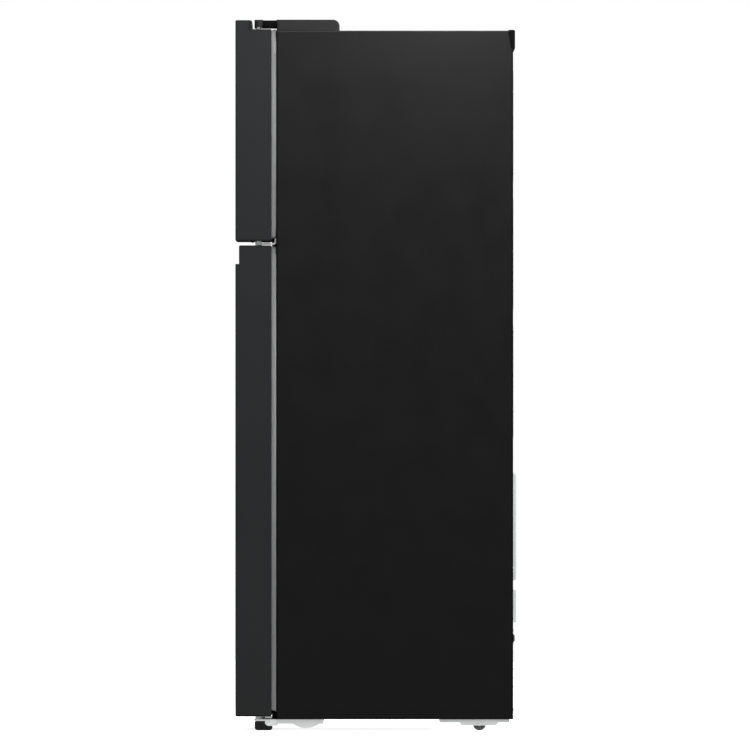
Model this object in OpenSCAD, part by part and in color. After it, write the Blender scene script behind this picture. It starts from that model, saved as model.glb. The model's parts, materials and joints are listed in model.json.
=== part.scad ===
// Top freezer refrigerator: a free-standing cabinet with two doors hinged on its right side.
// +Z is up, -Y is the front, and the origin is on the floor under the middle of the whole object.

/* [Cabinet] */
// Width of the cabinet
cabinet_w = 555; // [545:1:575]
// Depth of the cabinet without its doors
cabinet_d = 543; // [530:1:560]
// Height of the cabinet's top above the floor
cabinet_top = 1605; // [1590:1:1640]
// Height of the cabinet's underside above the floor
cabinet_bottom = 25.5; // [25:0.5:27]
// Thickness of the foamed side walls
side_wall = 40; // [38:1:44]
// Thickness of the foamed top wall
top_wall = 45; // [40:1:60]

/* [Doors] */
// Thickness of a door without its seal
door_t = 83; // [80:1:86]
// Gap between a door's back and the cabinet's front, which the seal fills
seal_gap = 10.5; // [10:0.5:11]
// Height of the middle of the gap between the doors
split_z = 1117.5; // [1110:0.5:1125]
// Gap between the doors
door_gap = 10; // [9.5:0.5:10.5]
// Height of the fridge door's lower edge above the floor
door_bottom = 32; // [32:0.5:33]
// Height of the freezer door's front lip above the cabinet's top
lip_rise = 24; // [23:0.5:25]
// Depth of the lip from front to back
lip_d = 38; // [34:1:38]
// Depth of the grip recess along the fridge door's top edge
recess_d = 8.3; // [6:0.1:9]
// Height of that recess
recess_h = 42.7; // [38:0.1:46]

/* [Hinges] */
// Distance from the cabinet's side to the hinge pins
hinge_inset = 22.5; // [21:0.5:24]
// Distance from a door's front to the hinge pins
hinge_setback = 53.3; // [52:0.1:55]
// Radius of the top hinge pin
top_pin_r = 5; // [4.5:0.1:5.5]
// Radius of the middle and bottom hinge pins
pin_r = 4.5; // [4:0.1:5]
// Radial clearance of a turning fit
fit = 0.05; // [0.03:0.01:0.08]

/* [Machine compartment] */
// Depth of the compartment at the cabinet's lower back
room_d = 170; // [165:1:175]
// Height of the compartment's roof above the floor
room_top = 250; // [240:1:255]
// Radius of the rear rollers
roller_r = 15; // [14.5:0.5:15]

/* [Hidden] */
$fn = 48;
eps = 1;

// Sheet thicknesses
steel_t = 0.8;
liner_t = 1.2;
flange_w = 18;

// Places along Y, from the doors' front to the rearmost cover
board_cover_out = 8;
total_d = door_t + seal_gap + cabinet_d + board_cover_out;
front_y = -total_d / 2;
door_back = front_y + door_t;
cab_front = door_back + seal_gap;
cab_back = cab_front + cabinet_d;
room_front = cab_back - room_d;

// Places along X
half_w = cabinet_w / 2;
inner_x = half_w - steel_t;
flange_x = half_w - flange_w;
door_x = half_w - 0.5;
hinge_x = half_w - hinge_inset;
hinge_y = front_y + hinge_setback;

// Freezer and fridge cavities
freezer_x = half_w - side_wall - 7.5;
freezer_z0 = split_z + 30.5;
freezer_z1 = cabinet_top - top_wall;
freezer_back = cab_back - 50;
fridge_x = half_w - side_wall;
fridge_z0 = 70;
fridge_z1 = split_z - 29.5;
fridge_back = cab_back - 45;
hump_y = room_front - 35;
hump_z = room_top + 40;

// Doors
freezer_door_z0 = split_z + door_gap / 2;
freezer_door_z1 = cabinet_top + 3.3;
lip_z = cabinet_top + lip_rise;
fridge_door_z0 = door_bottom;
fridge_door_z1 = split_z - door_gap / 2;
recess_z = fridge_door_z1 - recess_h;
door_round = 4;
return_w = 15;
cap_t = 20;
edge_h = 3;
grip_x0 = -220;
grip_x1 = 190;
grip_y = front_y + 36;
freezer_grip_z = freezer_door_z0 + 24;
fridge_grip_z = recess_z - 20;
dyke_y = cab_front + 30;
dyke_t = 11;
seal_w = 16;
fridge_seal_z0 = fridge_door_z0 + 13;
freezer_dyke_x = freezer_x - 10;
fridge_dyke_x = fridge_x - 12.5;

// How far the door baskets reach into the cabinet
freezer_reach = 76;
fridge_reach = 90;

// Air cover, fan and evaporator at the freezer's back
air_cover_y = 190;
fan_z = 1440;
fan_r = 48;

// Ice maker and its bin on the freezer shelf
freezer_shelf_z = 1340;
ice_x0 = -224;
ice_x1 = -106;
ice_y0 = -134;
ice_y1 = 140;
ice_mid_x = (ice_x0 + ice_x1) / 2;
ice_axis_z = 1452;
ice_frame_z1 = 1480;

// Shelves and drawers in the fridge
shelf_levels = [500, 700, 900];
shelf_y0 = -112;
shelf_y1 = 238;
glass_t = 4;
trim_rise = 2;
crisper_top = hump_z - 4;
drawer_y0 = -120;
chiller_z0 = shelf_levels[2] + glass_t + trim_rise + 0.6;
control_z0 = 1045;
dial_x = -70;
dial_z = 1066;
switch_x = 120;
fridge_switch_z = 1068;
freezer_switch_z = freezer_z1 - 13;
switch_y0 = -185;
switch_r = 4;
switch_out = 13;

// Rollers and feet
roller_x = 252;
roller_w = 16;
roller_y = front_y + 559.7;
axle_r = 2.5;
foot_x = 238;
foot_y = front_y + 64.6;
foot_r = 20.5;
foot_h = 21.5;
stud_r = 4;

// Compressor and its rubber mounts
compressor_x = -130;
compressor_y = room_front + 84;
mount_x = 62;
mount_y = 55;

// Hinges and the places of their screws
hinge_t = 3;
arm_z = cabinet_top + 6.3;
top_screws = [[-28, 34], [-28, 88], [-2, 61]];
middle_screws = [hinge_x - 42, hinge_x - 16];

// Helpers

// A box between two corners
module slab(x0, x1, y0, y1, z0, z1) {
  translate([x0, y0, z0]) cube([x1 - x0, y1 - y0, z1 - z0]);
}

// A rectangle with round corners, as an exact outline
module rounded(x0, x1, y0, y1, r) {
  translate([x0 + r, y0]) square([x1 - x0 - 2 * r, y1 - y0]);
  translate([x0, y0 + r]) square([x1 - x0, y1 - y0 - 2 * r]);
  for (x = [x0 + r, x1 - r], y = [y0 + r, y1 - r]) translate([x, y]) circle(r);
}

// Extrudes a (y, z) outline along X
module along_x(x0, x1) {
  translate([x0, 0, 0]) rotate([90, 0, 90]) linear_extrude(x1 - x0) children();
}

// Extrudes an (x, z) outline along Y
module along_y(y0, y1) {
  translate([0, y1, 0]) rotate([90, 0, 0]) linear_extrude(y1 - y0) children();
}

// Extrudes an (x, y) outline along Z
module along_z(z0, z1) {
  translate([0, 0, z0]) linear_extrude(z1 - z0) children();
}

// A vertical cylinder
module post(x, y, z0, z1, r) {
  translate([x, y, z0]) cylinder(h = z1 - z0, r = r);
}

// A cylinder along Y
module rod_y(x, y0, y1, z, r) {
  translate([x, y1, z]) rotate([90, 0, 0]) cylinder(h = y1 - y0, r = r);
}

// A cylinder along X
module rod_x(x0, x1, y, z, r) {
  translate([x0, y, z]) rotate([0, 90, 0]) cylinder(h = x1 - x0, r = r);
}

// A bin that is open at the top
module bin(x0, x1, y0, y1, z0, z1, wall, r) {
  difference() {
    along_z(z0, z1) rounded(x0, x1, y0, y1, r);
    along_z(z0 + wall, z1 + eps) rounded(x0 + wall, x1 - wall, y0 + wall, y1 - wall, r - wall);
  }
}

// A flat frame in the XZ plane
module frame_xz(x, z0, z1, w, y0, y1) {
  difference() {
    slab(-x, x, y0, y1, z0, z1);
    slab(-x + w, x - w, y0 - eps, y1 + eps, z0 + w, z1 - w);
  }
}

// Cabinet

// Outline of the rear top cap, which the outer shell leaves room for
module cap_outline() {
  polygon([
    [cab_back - 11, cabinet_top + 0.2], [cab_back - 9.5, cabinet_top + 1.7],
    [cab_back + 2.2, cabinet_top + 1.7], [cab_back + 4.2, cabinet_top + 0.8],
    [cab_back + 5, cabinet_top - 1.4], [cab_back + 5, cabinet_top - 41],
    [cab_back + 3, cabinet_top - 43.5], [cab_back - 1.5, cabinet_top - 43.5],
    [cab_back - 5, cabinet_top - 39]
  ]);
}

module outer_shell() {
  color([0.10, 0.10, 0.11]) difference() {
    union() {
      difference() {
        slab(-half_w, half_w, cab_front, cab_back, cabinet_bottom, cabinet_top);
        slab(-inner_x, inner_x, cab_front - eps, cab_back + eps,
             cabinet_bottom - eps, cabinet_top - steel_t);
      }
      for (side = [-1, 1])
        slab(min(side * half_w, side * flange_x), max(side * half_w, side * flange_x),
             cab_front, cab_front + steel_t, cabinet_bottom, cabinet_top);
      slab(-half_w, half_w, cab_front, cab_front + steel_t, cabinet_top - flange_w, cabinet_top);
    }
    along_x(-half_w - eps, half_w + eps) cap_outline();
  }
}

module back_panel() {
  color([0.62, 0.63, 0.64]) difference() {
    slab(-inner_x, inner_x, cab_back - steel_t, cab_back, room_top + 1, cabinet_top - steel_t);
    along_x(-half_w - eps, half_w + eps) cap_outline();
  }
}

module base_panel() {
  color([0.62, 0.63, 0.64]) along_x(-inner_x, inner_x) {
    translate([cab_front + steel_t, cabinet_bottom]) square([room_front - cab_front - steel_t, 1]);
    translate([room_front - 1, cabinet_bottom]) square([1, room_top + 1 - cabinet_bottom]);
    translate([room_front - 1, room_top]) square([room_d + 1 - steel_t, 1]);
  }
  color([0.62, 0.63, 0.64])
    slab(-flange_x, flange_x, cab_front, cab_front + steel_t,
         cabinet_bottom, cabinet_bottom + flange_w);
}

// (y, z) outline of the fridge cavity, grown by the liner's thickness for its outside
module fridge_outline(grow, front) {
  polygon([
    [front, fridge_z0 - grow], [hump_y + grow, fridge_z0 - grow],
    [hump_y + grow, hump_z - grow], [fridge_back + grow, hump_z - grow],
    [fridge_back + grow, fridge_z1 + grow], [front, fridge_z1 + grow]
  ]);
}

module freezer_block(grow, front) {
  slab(-freezer_x - grow, freezer_x + grow, front, freezer_back + grow,
       freezer_z0 - grow, freezer_z1 + grow);
}

module cabinet_foam() {
  color([0.93, 0.87, 0.68]) difference() {
    slab(-inner_x, inner_x, cab_front + steel_t, cab_back - steel_t,
         cabinet_bottom + 1, cabinet_top - steel_t);
    slab(-half_w, half_w, room_front - 1, cab_back, 0, room_top + 1);
    freezer_block(liner_t, cab_front - eps);
    along_x(-fridge_x - liner_t, fridge_x + liner_t) fridge_outline(liner_t, cab_front - eps);
    along_x(-half_w - eps, half_w + eps) cap_outline();
  }
}

// Housing of the freezer's door switch on the ceiling
module freezer_switch_boss() {
  difference() {
    slab(switch_x - 12, switch_x + 12, switch_y0, switch_y0 + 40,
         freezer_switch_z - 11, freezer_z1 + liner_t / 2);
    rod_y(switch_x, switch_y0 - eps, switch_y0 + 30, freezer_switch_z, switch_r + 0.1);
  }
}

// Rib on a liner's side wall that a shelf rests on
module rib(side, wall_x, w, y0, y1, z) {
  slab(min(side * (wall_x - w), side * (wall_x + 0.5)), max(side * (wall_x - w), side * (wall_x + 0.5)),
       y0, y1, z - 9, z - 0.2);
}

module freezer_liner() {
  color([0.94, 0.95, 0.95]) {
    difference() {
      union() {
        freezer_block(liner_t, cab_front);
        slab(-flange_x, flange_x, cab_front, cab_front + steel_t,
             freezer_z0 - 2, cabinet_top - flange_w);
      }
      freezer_block(0, cab_front - eps);
    }
    freezer_switch_boss();
    for (side = [-1, 1], y = [-120, 120])
      rib(side, freezer_x, 5, y, y + 60, freezer_shelf_z);
  }
}

module fridge_liner() {
  color([0.94, 0.95, 0.95]) {
    difference() {
      union() {
        along_x(-fridge_x - liner_t, fridge_x + liner_t) fridge_outline(liner_t, cab_front);
        slab(-flange_x, flange_x, cab_front, cab_front + steel_t,
             cabinet_bottom + flange_w, fridge_z1 + 2);
      }
      along_x(-fridge_x, fridge_x) fridge_outline(0, cab_front - eps);
    }
    for (side = [-1, 1], z = shelf_levels)
      rib(side, fridge_x, 9, shelf_y0 + 14, shelf_y1 - 20, z);
  }
}

// Rail between the compartments, and a sill under the fridge door's seal
module front_rails() {
  color([0.16, 0.16, 0.17]) {
    slab(-flange_x, flange_x, cab_front, cab_front + steel_t, fridge_z1 + 2, freezer_z0 - 2);
    slab(-flange_x, hinge_x - 52, cab_front - seal_gap + 0.8, cab_front + 0.4,
         fridge_door_z1 - 1.7, freezer_door_z0 + 7.2);
    slab(-half_w + 8, hinge_x - 41, cab_front - seal_gap + 0.8, cab_front,
         cabinet_bottom, fridge_seal_z0 - 0.5);
  }
}

module rear_top_cap() {
  color([0.07, 0.07, 0.08]) difference() {
    along_x(-half_w, half_w) cap_outline();
    slab(-half_w + 3, half_w - 3, cab_back - 20, cab_back + 2, cabinet_top - 60, cabinet_top - 2);
  }
}

// Machine compartment

// Side view of a roller bracket's cheek
module cheek_outline() {
  polygon([
    [roller_y - 46, 18.2], [roller_y - 40, 11.3], [roller_y + 38, 11.3], [roller_y + 44, 18.2]
  ]);
}

module compressor_base() {
  pan_x = 270;
  pan_y0 = room_front + 2;
  pan_y1 = cab_back - 8;
  color([0.70, 0.72, 0.73]) difference() {
    union() {
      slab(-pan_x, pan_x, pan_y0, pan_y1, 18, 19.5);
      for (side = [-1, 1]) {
        slab(min(side * pan_x, side * (pan_x - 1.5)), max(side * pan_x, side * (pan_x - 1.5)),
             pan_y0, pan_y1, 18, 45);
        for (x = [roller_x - 11, roller_x + 9])
          along_x(side > 0 ? x : -x - 2, side > 0 ? x + 2 : -x) cheek_outline();
      }
      slab(-pan_x, pan_x, pan_y0, pan_y0 + 1.5, 18, 32);
      slab(-pan_x, pan_x, pan_y1 - 1.5, pan_y1, 18, 32);
    }
    for (side = [-1, 1]) {
      slab(side * roller_x - 9, side * roller_x + 9, roller_y - 18, roller_y + 18, 17, 21);
      for (end = [-1, 1])
        slab(side * roller_x + end * 12.5 - 1.5, side * roller_x + end * 12.5 + 1.5,
             roller_y - 6, roller_y + 6, 17, 21);
      rod_x(side * roller_x - 12, side * roller_x + 12, roller_y, roller_r, axle_r + 0.02);
    }
  }
}

module rear_roller(side) {
  color([0.16, 0.17, 0.17]) difference() {
    union() {
      rod_x(side * roller_x - roller_w / 2, side * roller_x + roller_w / 2, roller_y, roller_r, roller_r);
      rod_x(side * roller_x - 8.6, side * roller_x + 8.6, roller_y, roller_r, 6);
    }
    rod_x(side * roller_x - 9, side * roller_x + 9, roller_y, roller_r, axle_r + fit);
    for (face = [-1, 1])
      difference() {
        rod_x(side * roller_x + face * 8 - 3, side * roller_x + face * 8 + 3, roller_y, roller_r, 11);
        rod_x(side * roller_x + face * 8 - 4, side * roller_x + face * 8 + 4, roller_y, roller_r, 6);
      }
  }
}

module roller_axles() {
  color([0.75, 0.76, 0.77]) for (side = [-1, 1]) {
    rod_x(side * roller_x - 12, side * roller_x + 12, roller_y, roller_r, axle_r);
    for (end = [-1, 1])
      rod_x(side * roller_x + end * 12.2 - 1.1, side * roller_x + end * 12.2 + 1.1,
            roller_y, roller_r, 4.5);
  }
}

module compressor() {
  color([0.08, 0.08, 0.09]) {
    translate([compressor_x, compressor_y, 0]) rotate_extrude() {
      translate([0, 55]) square([74, 95]);
      intersection() {
        translate([0, 55]) circle(74);
        translate([0, 32]) square([74, 24]);
      }
      intersection() {
        translate([24, 150]) circle(50);
        translate([0, 149]) square([75, 60]);
      }
      translate([0, 149]) square([24.5, 51]);
    }
    difference() {
      slab(compressor_x - 76, compressor_x + 76, compressor_y - 68, compressor_y + 68, 31, 34);
      for (sx = [-1, 1], sy = [-1, 1])
        post(compressor_x + sx * mount_x, compressor_y + sy * mount_y, 30, 35, 6);
    }
    slab(compressor_x + 66, compressor_x + 92, compressor_y - 24, compressor_y + 24, 80, 130);
  }
}

module compressor_mounts() {
  color([0.12, 0.12, 0.12]) for (sx = [-1, 1], sy = [-1, 1]) {
    post(compressor_x + sx * mount_x, compressor_y + sy * mount_y, 19.5, 31, 11);
    post(compressor_x + sx * mount_x, compressor_y + sy * mount_y, 31, 38, 5.8);
  }
}

// Tube from the compressor to the roof, and the filter drier on its way
module refrigerant_lines() {
  tube_r = 3;
  bend_r = 14;
  line_x = compressor_x + 20;
  line_y = compressor_y - 20;
  color([0.72, 0.42, 0.26]) {
    post(line_x, line_y, 200.5, 215, tube_r);
    translate([line_x + bend_r, line_y, 215]) rotate([90, 0, 0]) rotate([0, 0, 90])
      rotate_extrude(angle = 90) translate([bend_r, 0]) circle(tube_r);
    rod_x(line_x + bend_r, line_x + 150, line_y, 215 + bend_r, tube_r);
    rod_x(line_x + 150, line_x + 240, line_y, 215 + bend_r, 9);
    rod_x(line_x + 240, line_x + 262, line_y, 215 + bend_r, tube_r);
  }
}

module drain_pan() {
  color([0.80, 0.81, 0.80])
    bin(-20, 225, room_front + 16, cab_back - 22, 20, 72, 2, 12);
}

// Rear cover of the machine compartment, with vent slots and a raised exhaust hood on top
module machine_cover() {
  hood_z0 = room_top + 5;
  hood_z1 = room_top + 70;
  color([0.86, 0.87, 0.87]) difference() {
    union() {
      slab(-inner_x, inner_x, cab_back - 1.2, cab_back, 34, room_top - 0.1);
      slab(-235, 235, cab_back - 0.6, cab_back + 1, room_top - 6, room_top + 0.5);
      difference() {
        slab(-240, 240, cab_back, cab_back + 7.4, hood_z0 - 7, hood_z1);
        slab(-238.8, 238.8, cab_back - eps, cab_back + 6.2, hood_z0 - 5.8, hood_z1 - 1.2);
      }
    }
    for (row = [0:5], col = [-6:6])
      slab(col * 32 - 11, col * 32 + 11, cab_back - 3, cab_back + 3, 96 + row * 20, 101 + row * 20);
    post_gland(cab_back - 3, cab_back + 3, 7);
    for (col = [-8:8])
      slab(col * 26 - 9, col * 26 + 9, cab_back + 1.2, cab_back + 5.6, hood_z0 - 8, hood_z0 - 3);
  }
}

module post_gland(y0, y1, r) {
  rod_y(200, y0, y1, 211, r);
}

module cord_gland() {
  color([0.05, 0.05, 0.05]) difference() {
    union() {
      post_gland(cab_back - 4, cab_back + 4.5, 6.9);
      post_gland(cab_back, cab_back + 2.5, 10);
    }
    post_gland(cab_back - 5, cab_back + 6, 3.6);
  }
}

// Shallow cover over the control board on the back panel
module control_board_cover() {
  z0 = 343;
  z1 = 592;
  color([0.80, 0.81, 0.82]) difference() {
    along_x(-40, 205) polygon([
      [cab_back, z0], [cab_back + 6.5, z0 + 2], [cab_back + 8, z0 + 7],
      [cab_back + 8, z1 - 15], [cab_back + 3.5, z1 - 3], [cab_back, z1]
    ]);
    slab(-38, 203, cab_back - eps, cab_back + 6, z0 + 3, z1 - 16);
    for (x = [-30, 195], z = [z0 + 12, z1 - 24])
      rod_y(x, cab_back, cab_back + 9, z, 2);
  }
}

// Feet, brackets and hinges

// Side view of the front bracket: round nose at the front and a bowed skirt behind it
module bracket_outline() {
  translate([front_y + 68, 15]) square([134, cabinet_bottom - 15]);
  translate([front_y + 76, 10.6]) square([16, 10]);
  translate([front_y + 76, 18]) circle(7.4);
  translate([front_y + 92, 18]) circle(7.4);
  intersection() {
    translate([front_y + 162, 59.5]) circle(54, $fn = 96);
    translate([front_y + 126, 2]) square([72, 15]);
  }
}

// Front bracket under the cabinet's floor; its tongue carries the foot ahead of the cabinet
module front_bracket(side) {
  outer = side * (foot_x + foot_r + 8);
  inner = side * (foot_x - 24);
  difference() {
    union() {
      along_z(21.7, cabinet_bottom) rounded(min(inner, outer), max(inner, outer),
                                            front_y + 43.5, front_y + 202, 9);
      along_x(min(outer, outer - side * 2.5), max(outer, outer - side * 2.5)) bracket_outline();
    }
    post(side * foot_x, foot_y, 20, cabinet_bottom + 1, stud_r + fit);
    for (y = [front_y + 125, front_y + 185])
      post(side * (foot_x - 8), y, 20, cabinet_bottom + 1, 2.6);
  }
}

module foot_bracket() {
  color([0.78, 0.80, 0.80]) front_bracket(-1);
}

module bottom_hinge() {
  color([0.78, 0.80, 0.80]) {
    front_bracket(1);
    post(hinge_x, hinge_y, cabinet_bottom - 2, fridge_door_z0 + 18, pin_r);
    post(hinge_x, hinge_y, cabinet_bottom - 2, fridge_door_z0 - 0.4, 7.5);
  }
}

module levelling_foot(side) {
  color([0.11, 0.11, 0.12]) {
    translate([side * foot_x, foot_y, 0]) rotate_extrude() {
      translate([0, 0]) square([foot_r - 5, foot_h]);
      translate([0, 5]) square([foot_r, foot_h - 6]);
      translate([foot_r - 5, 5]) circle(5);
      translate([0, foot_h - 2]) square([foot_r - 2, 2]);
    }
    post(side * foot_x, foot_y, foot_h - 1, 31, stud_r);
  }
}

// Side view of the middle hinge: a plate that bends up against the cabinet's front
module middle_hinge_outline(z0, z1) {
  bend = 6;
  translate([hinge_y, z0]) square([cab_front - bend - hinge_y, z1 - z0]);
  translate([cab_front - bend, z0 + bend]) intersection() {
    difference() {
      circle(bend);
      circle(2);
    }
    translate([-eps / 10, -bend]) square([bend + 0.1, bend + 0.1]);
  }
  translate([cab_front - 4, z0 + bend]) square([4, 1.5]);
  translate([cab_front - 2, z0 + bend]) square([2, 9]);
}

module middle_hinge() {
  plate_z0 = fridge_door_z1 + 1.5;
  plate_z1 = plate_z0 + 4;
  plate_x0 = hinge_x - 50;
  plate_x1 = hinge_x + 8;
  color([0.82, 0.83, 0.83]) {
    difference() {
      union() {
        along_x(plate_x0, plate_x1) middle_hinge_outline(plate_z0, plate_z1);
        slab(plate_x0 + 20, plate_x1 - 8, hinge_y - 8, hinge_y + eps, plate_z0, plate_z1);
        post(hinge_x, hinge_y, plate_z0, plate_z1, 8);
      }
      for (x = middle_screws)
        rod_y(x, cab_front - 3, cab_front + 1, plate_z0 + 11.3, 1.9);
    }
    post(hinge_x, hinge_y, plate_z0 - 19, freezer_door_z0 + 20, pin_r);
    post(hinge_x, hinge_y, plate_z1 - 1, freezer_door_z0 - 0.3, 7.5);
  }
}

// Stamped hinge: a base screwed to the cabinet's top, a ramp and an arm out over the door
module top_hinge() {
  color([0.82, 0.83, 0.83]) {
    difference() {
      union() {
        along_x(hinge_x - 38, hinge_x + 8) polygon([
          [cab_front + 100, cabinet_top], [cab_front + 100, cabinet_top + hinge_t],
          [cab_front + 24, cabinet_top + hinge_t], [cab_front + 14, arm_z + hinge_t],
          [cab_front + 4, arm_z + hinge_t], [cab_front + 4, arm_z], [cab_front + 12, arm_z],
          [cab_front + 22, cabinet_top]
        ]);
        slab(hinge_x - 7, hinge_x + 3.6, hinge_y, cab_front + 5, arm_z, arm_z + hinge_t);
        post(hinge_x, hinge_y, arm_z, arm_z + hinge_t, 7);
      }
      for (p = top_screws)
        post(hinge_x + p[0], cab_front + p[1], cabinet_top - 1, cabinet_top + 4, 3.1);
    }
    post(hinge_x, hinge_y, freezer_door_z1 - 18, arm_z + hinge_t, top_pin_r);
  }
}

// Plan of the hinge cover: a round nose over the pin, a neck and the main box
module cover_plan(inset) {
  translate([hinge_x, hinge_y]) circle(9.5 - inset);
  translate([hinge_x - 9.5 + inset, hinge_y])
    square([15.5 - 2 * inset, cab_front - hinge_y + 6]);
  rounded(hinge_x - 45 + inset, half_w - 0.3 - inset,
          cab_front + 2 + inset, cab_front + 145.6 - inset, 6 - inset);
}

// Side view of the cover: flat top, slight dip over the neck, round rear end
module cover_side() {
  top = cabinet_top + 25;
  difference() {
    union() {
      translate([hinge_y - 10, cabinet_top + 4.5]) square([20, top - cabinet_top - 4.5]);
      translate([hinge_y + 9, cabinet_top + 4.5]) square([34, top - cabinet_top - 5.8]);
      translate([cab_front + 1, cabinet_top]) square([132, top - cabinet_top]);
      translate([cab_front + 130, cabinet_top]) square([16, 12]);
      intersection() {
        translate([cab_front + 130.6, cabinet_top + 10]) circle(15);
        translate([cab_front + 130, cabinet_top + 9]) square([20, 20]);
      }
    }
    translate([hinge_y - 12, cabinet_top]) square([cab_front - hinge_y + 13, 4.5]);
    translate([hinge_y - 5, cabinet_top]) square([9.5, 8.4]);
  }
}

module top_hinge_cover() {
  color([0.12, 0.12, 0.13]) difference() {
    intersection() {
      along_z(cabinet_top, cabinet_top + 30) cover_plan(0);
      along_x(hinge_x - 60, hinge_x + 30) cover_side();
    }
    along_z(cabinet_top - eps, cabinet_top + 21.5) cover_plan(2);
  }
}

// Screws that fix the three hinges and the foot bracket
module hinge_screws() {
  color([0.76, 0.77, 0.78]) {
    for (p = top_screws) {
      post(hinge_x + p[0], cab_front + p[1], cabinet_top + hinge_t, cabinet_top + hinge_t + 4, 6);
      post(hinge_x + p[0], cab_front + p[1], cabinet_top, cabinet_top + hinge_t + 1, 3);
    }
    for (x = middle_screws) {
      rod_y(x, cab_front - 4, cab_front - 2, fridge_door_z1 + 12.8, 3.6);
      rod_y(x, cab_front - 3, cab_front, fridge_door_z1 + 12.8, 1.8);
    }
    for (side = [-1, 1], y = [front_y + 125, front_y + 185]) {
      post(side * (foot_x - 8), y, 18.7, 21.7, 5.5);
      post(side * (foot_x - 8), y, 20, cabinet_bottom, 2.5);
    }
  }
}

// Freezer interior

module freezer_shelf() {
  color([0.75, 0.85, 0.85, 0.5])
    slab(-freezer_x + 1.5, freezer_x - 1.5, -128, 184, freezer_shelf_z, freezer_shelf_z + glass_t);
}

module freezer_air_cover() {
  color([0.93, 0.94, 0.94]) difference() {
    union() {
      slab(-freezer_x + 0.5, freezer_x - 0.5, air_cover_y, air_cover_y + 3,
           freezer_z0 + 0.5, freezer_z1 - 0.5);
      rod_y(0, air_cover_y - 5, air_cover_y + 1, fan_z, fan_r + 10);
    }
    difference() {
      rod_y(0, air_cover_y - 3, air_cover_y + 4, fan_z, fan_r + 6);
      for (a = [0, 60, 120])
        translate([0, 0, fan_z]) rotate([0, a, 0]) slab(-60, 60, air_cover_y - 6, air_cover_y - 2, -2, 2);
    }
    for (ring = [0:3])
      difference() {
        rod_y(0, air_cover_y - 6, air_cover_y - 2, fan_z, 17 + ring * 11);
        rod_y(0, air_cover_y - 7, air_cover_y - 1, fan_z, 11 + ring * 11);
        for (a = [0, 60, 120])
          translate([0, 0, fan_z]) rotate([0, a, 0])
            slab(-60, 60, air_cover_y - 8, air_cover_y, -3, 3);
      }
    for (col = [-5:5])
      slab(col * 38 - 13, col * 38 + 13, air_cover_y - eps, air_cover_y + 4,
           freezer_z0 + 24, freezer_z0 + 32);
  }
}

module evaporator() {
  y0 = air_cover_y + 14;
  y1 = freezer_back - 8;
  z0 = freezer_z0 + 22;
  color([0.78, 0.79, 0.80]) {
    for (x = [-200:40:200]) slab(x - 0.6, x + 0.6, y0, y1, z0, z0 + 150);
    for (row = [0:3])
      rod_x(-208, 208, (y0 + y1) / 2, z0 + 20 + row * 36, 5);
  }
}

module fan_motor() {
  color([0.20, 0.20, 0.21]) {
    rod_y(0, air_cover_y + 36, air_cover_y + 62, fan_z, 24);
    rod_y(0, air_cover_y + 8, air_cover_y + 37, fan_z, 2);
    for (a = [30, 150, 270])
      translate([0, 0, fan_z]) rotate([0, a, 0]) {
        slab(20, 64, air_cover_y + 44, air_cover_y + 48, -5, 5);
        slab(58, 64, air_cover_y + 3, air_cover_y + 46, -5, 5);
      }
  }
}

module evaporator_fan() {
  y0 = air_cover_y + 10;
  color([0.86, 0.87, 0.87]) difference() {
    union() {
      rod_y(0, y0, y0 + 20, fan_z, 14);
      intersection() {
        rod_y(0, y0, y0 + 20, fan_z, fan_r);
        for (a = [0:72:288])
          translate([0, y0 + 10, fan_z]) rotate([0, a, 0]) rotate([38, 0, 0])
            slab(10, fan_r + 4, -1, 1, -20, 20);
      }
    }
    rod_y(0, y0 - eps, y0 + 21, fan_z, 2 + fit);
  }
}

module ice_tray_frame() {
  wall = 2.5;
  color([0.90, 0.92, 0.93]) difference() {
    slab(ice_x0, ice_x1, ice_y0, ice_y1, freezer_shelf_z + glass_t, ice_frame_z1);
    slab(ice_x0 + wall, ice_x1 - wall, ice_y0 + wall, ice_y1 - wall,
         freezer_shelf_z, ice_frame_z1 + eps);
    slab(ice_x0 + wall, ice_x1 - wall, ice_y0 - eps, ice_y0 + wall + eps,
         freezer_shelf_z, freezer_shelf_z + 60);
    rod_y(ice_mid_x, ice_y0 - eps, ice_y1 + eps, ice_axis_z, 5 + fit);
  }
}

module ice_tray() {
  cells_x = 2;
  cells_y = 7;
  pitch_x = 44;
  pitch_y = 34;
  x0 = ice_mid_x - pitch_x * cells_x / 2 - 2;
  y0 = (ice_y0 + ice_y1) / 2 - pitch_y * cells_y / 2 - 2;
  x1 = x0 + pitch_x * cells_x + 4;
  y1 = y0 + pitch_y * cells_y + 4;
  z0 = ice_axis_z - 16;
  z1 = ice_axis_z + 14;
  color([0.80, 0.88, 0.93]) {
    difference() {
      slab(x0, x1, y0, y1, z0, z1);
      for (i = [0:cells_x - 1], j = [0:cells_y - 1])
        slab(x0 + 3.5 + i * pitch_x, x0 + 0.5 + (i + 1) * pitch_x,
             y0 + 3.5 + j * pitch_y, y0 + 0.5 + (j + 1) * pitch_y, z0 + 2, z1 + eps);
      slab(x0 + 3.5, x1 - 3.5, y0 + 3.5, y1 - 3.5, z1 - 8, z1 + eps);
    }
    rod_y(ice_mid_x, ice_y0 - 9, y0 + 1, ice_axis_z, 5);
    rod_y(ice_mid_x, y1 - 1, ice_y1, ice_axis_z, 5);
    rod_y(ice_mid_x, ice_y0 - 10, ice_y0 - 2, ice_axis_z, 13);
    slab(ice_mid_x - 3, ice_mid_x + 3, ice_y0 - 14, ice_y0 - 9, ice_axis_z - 12, ice_axis_z + 12);
  }
}

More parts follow.
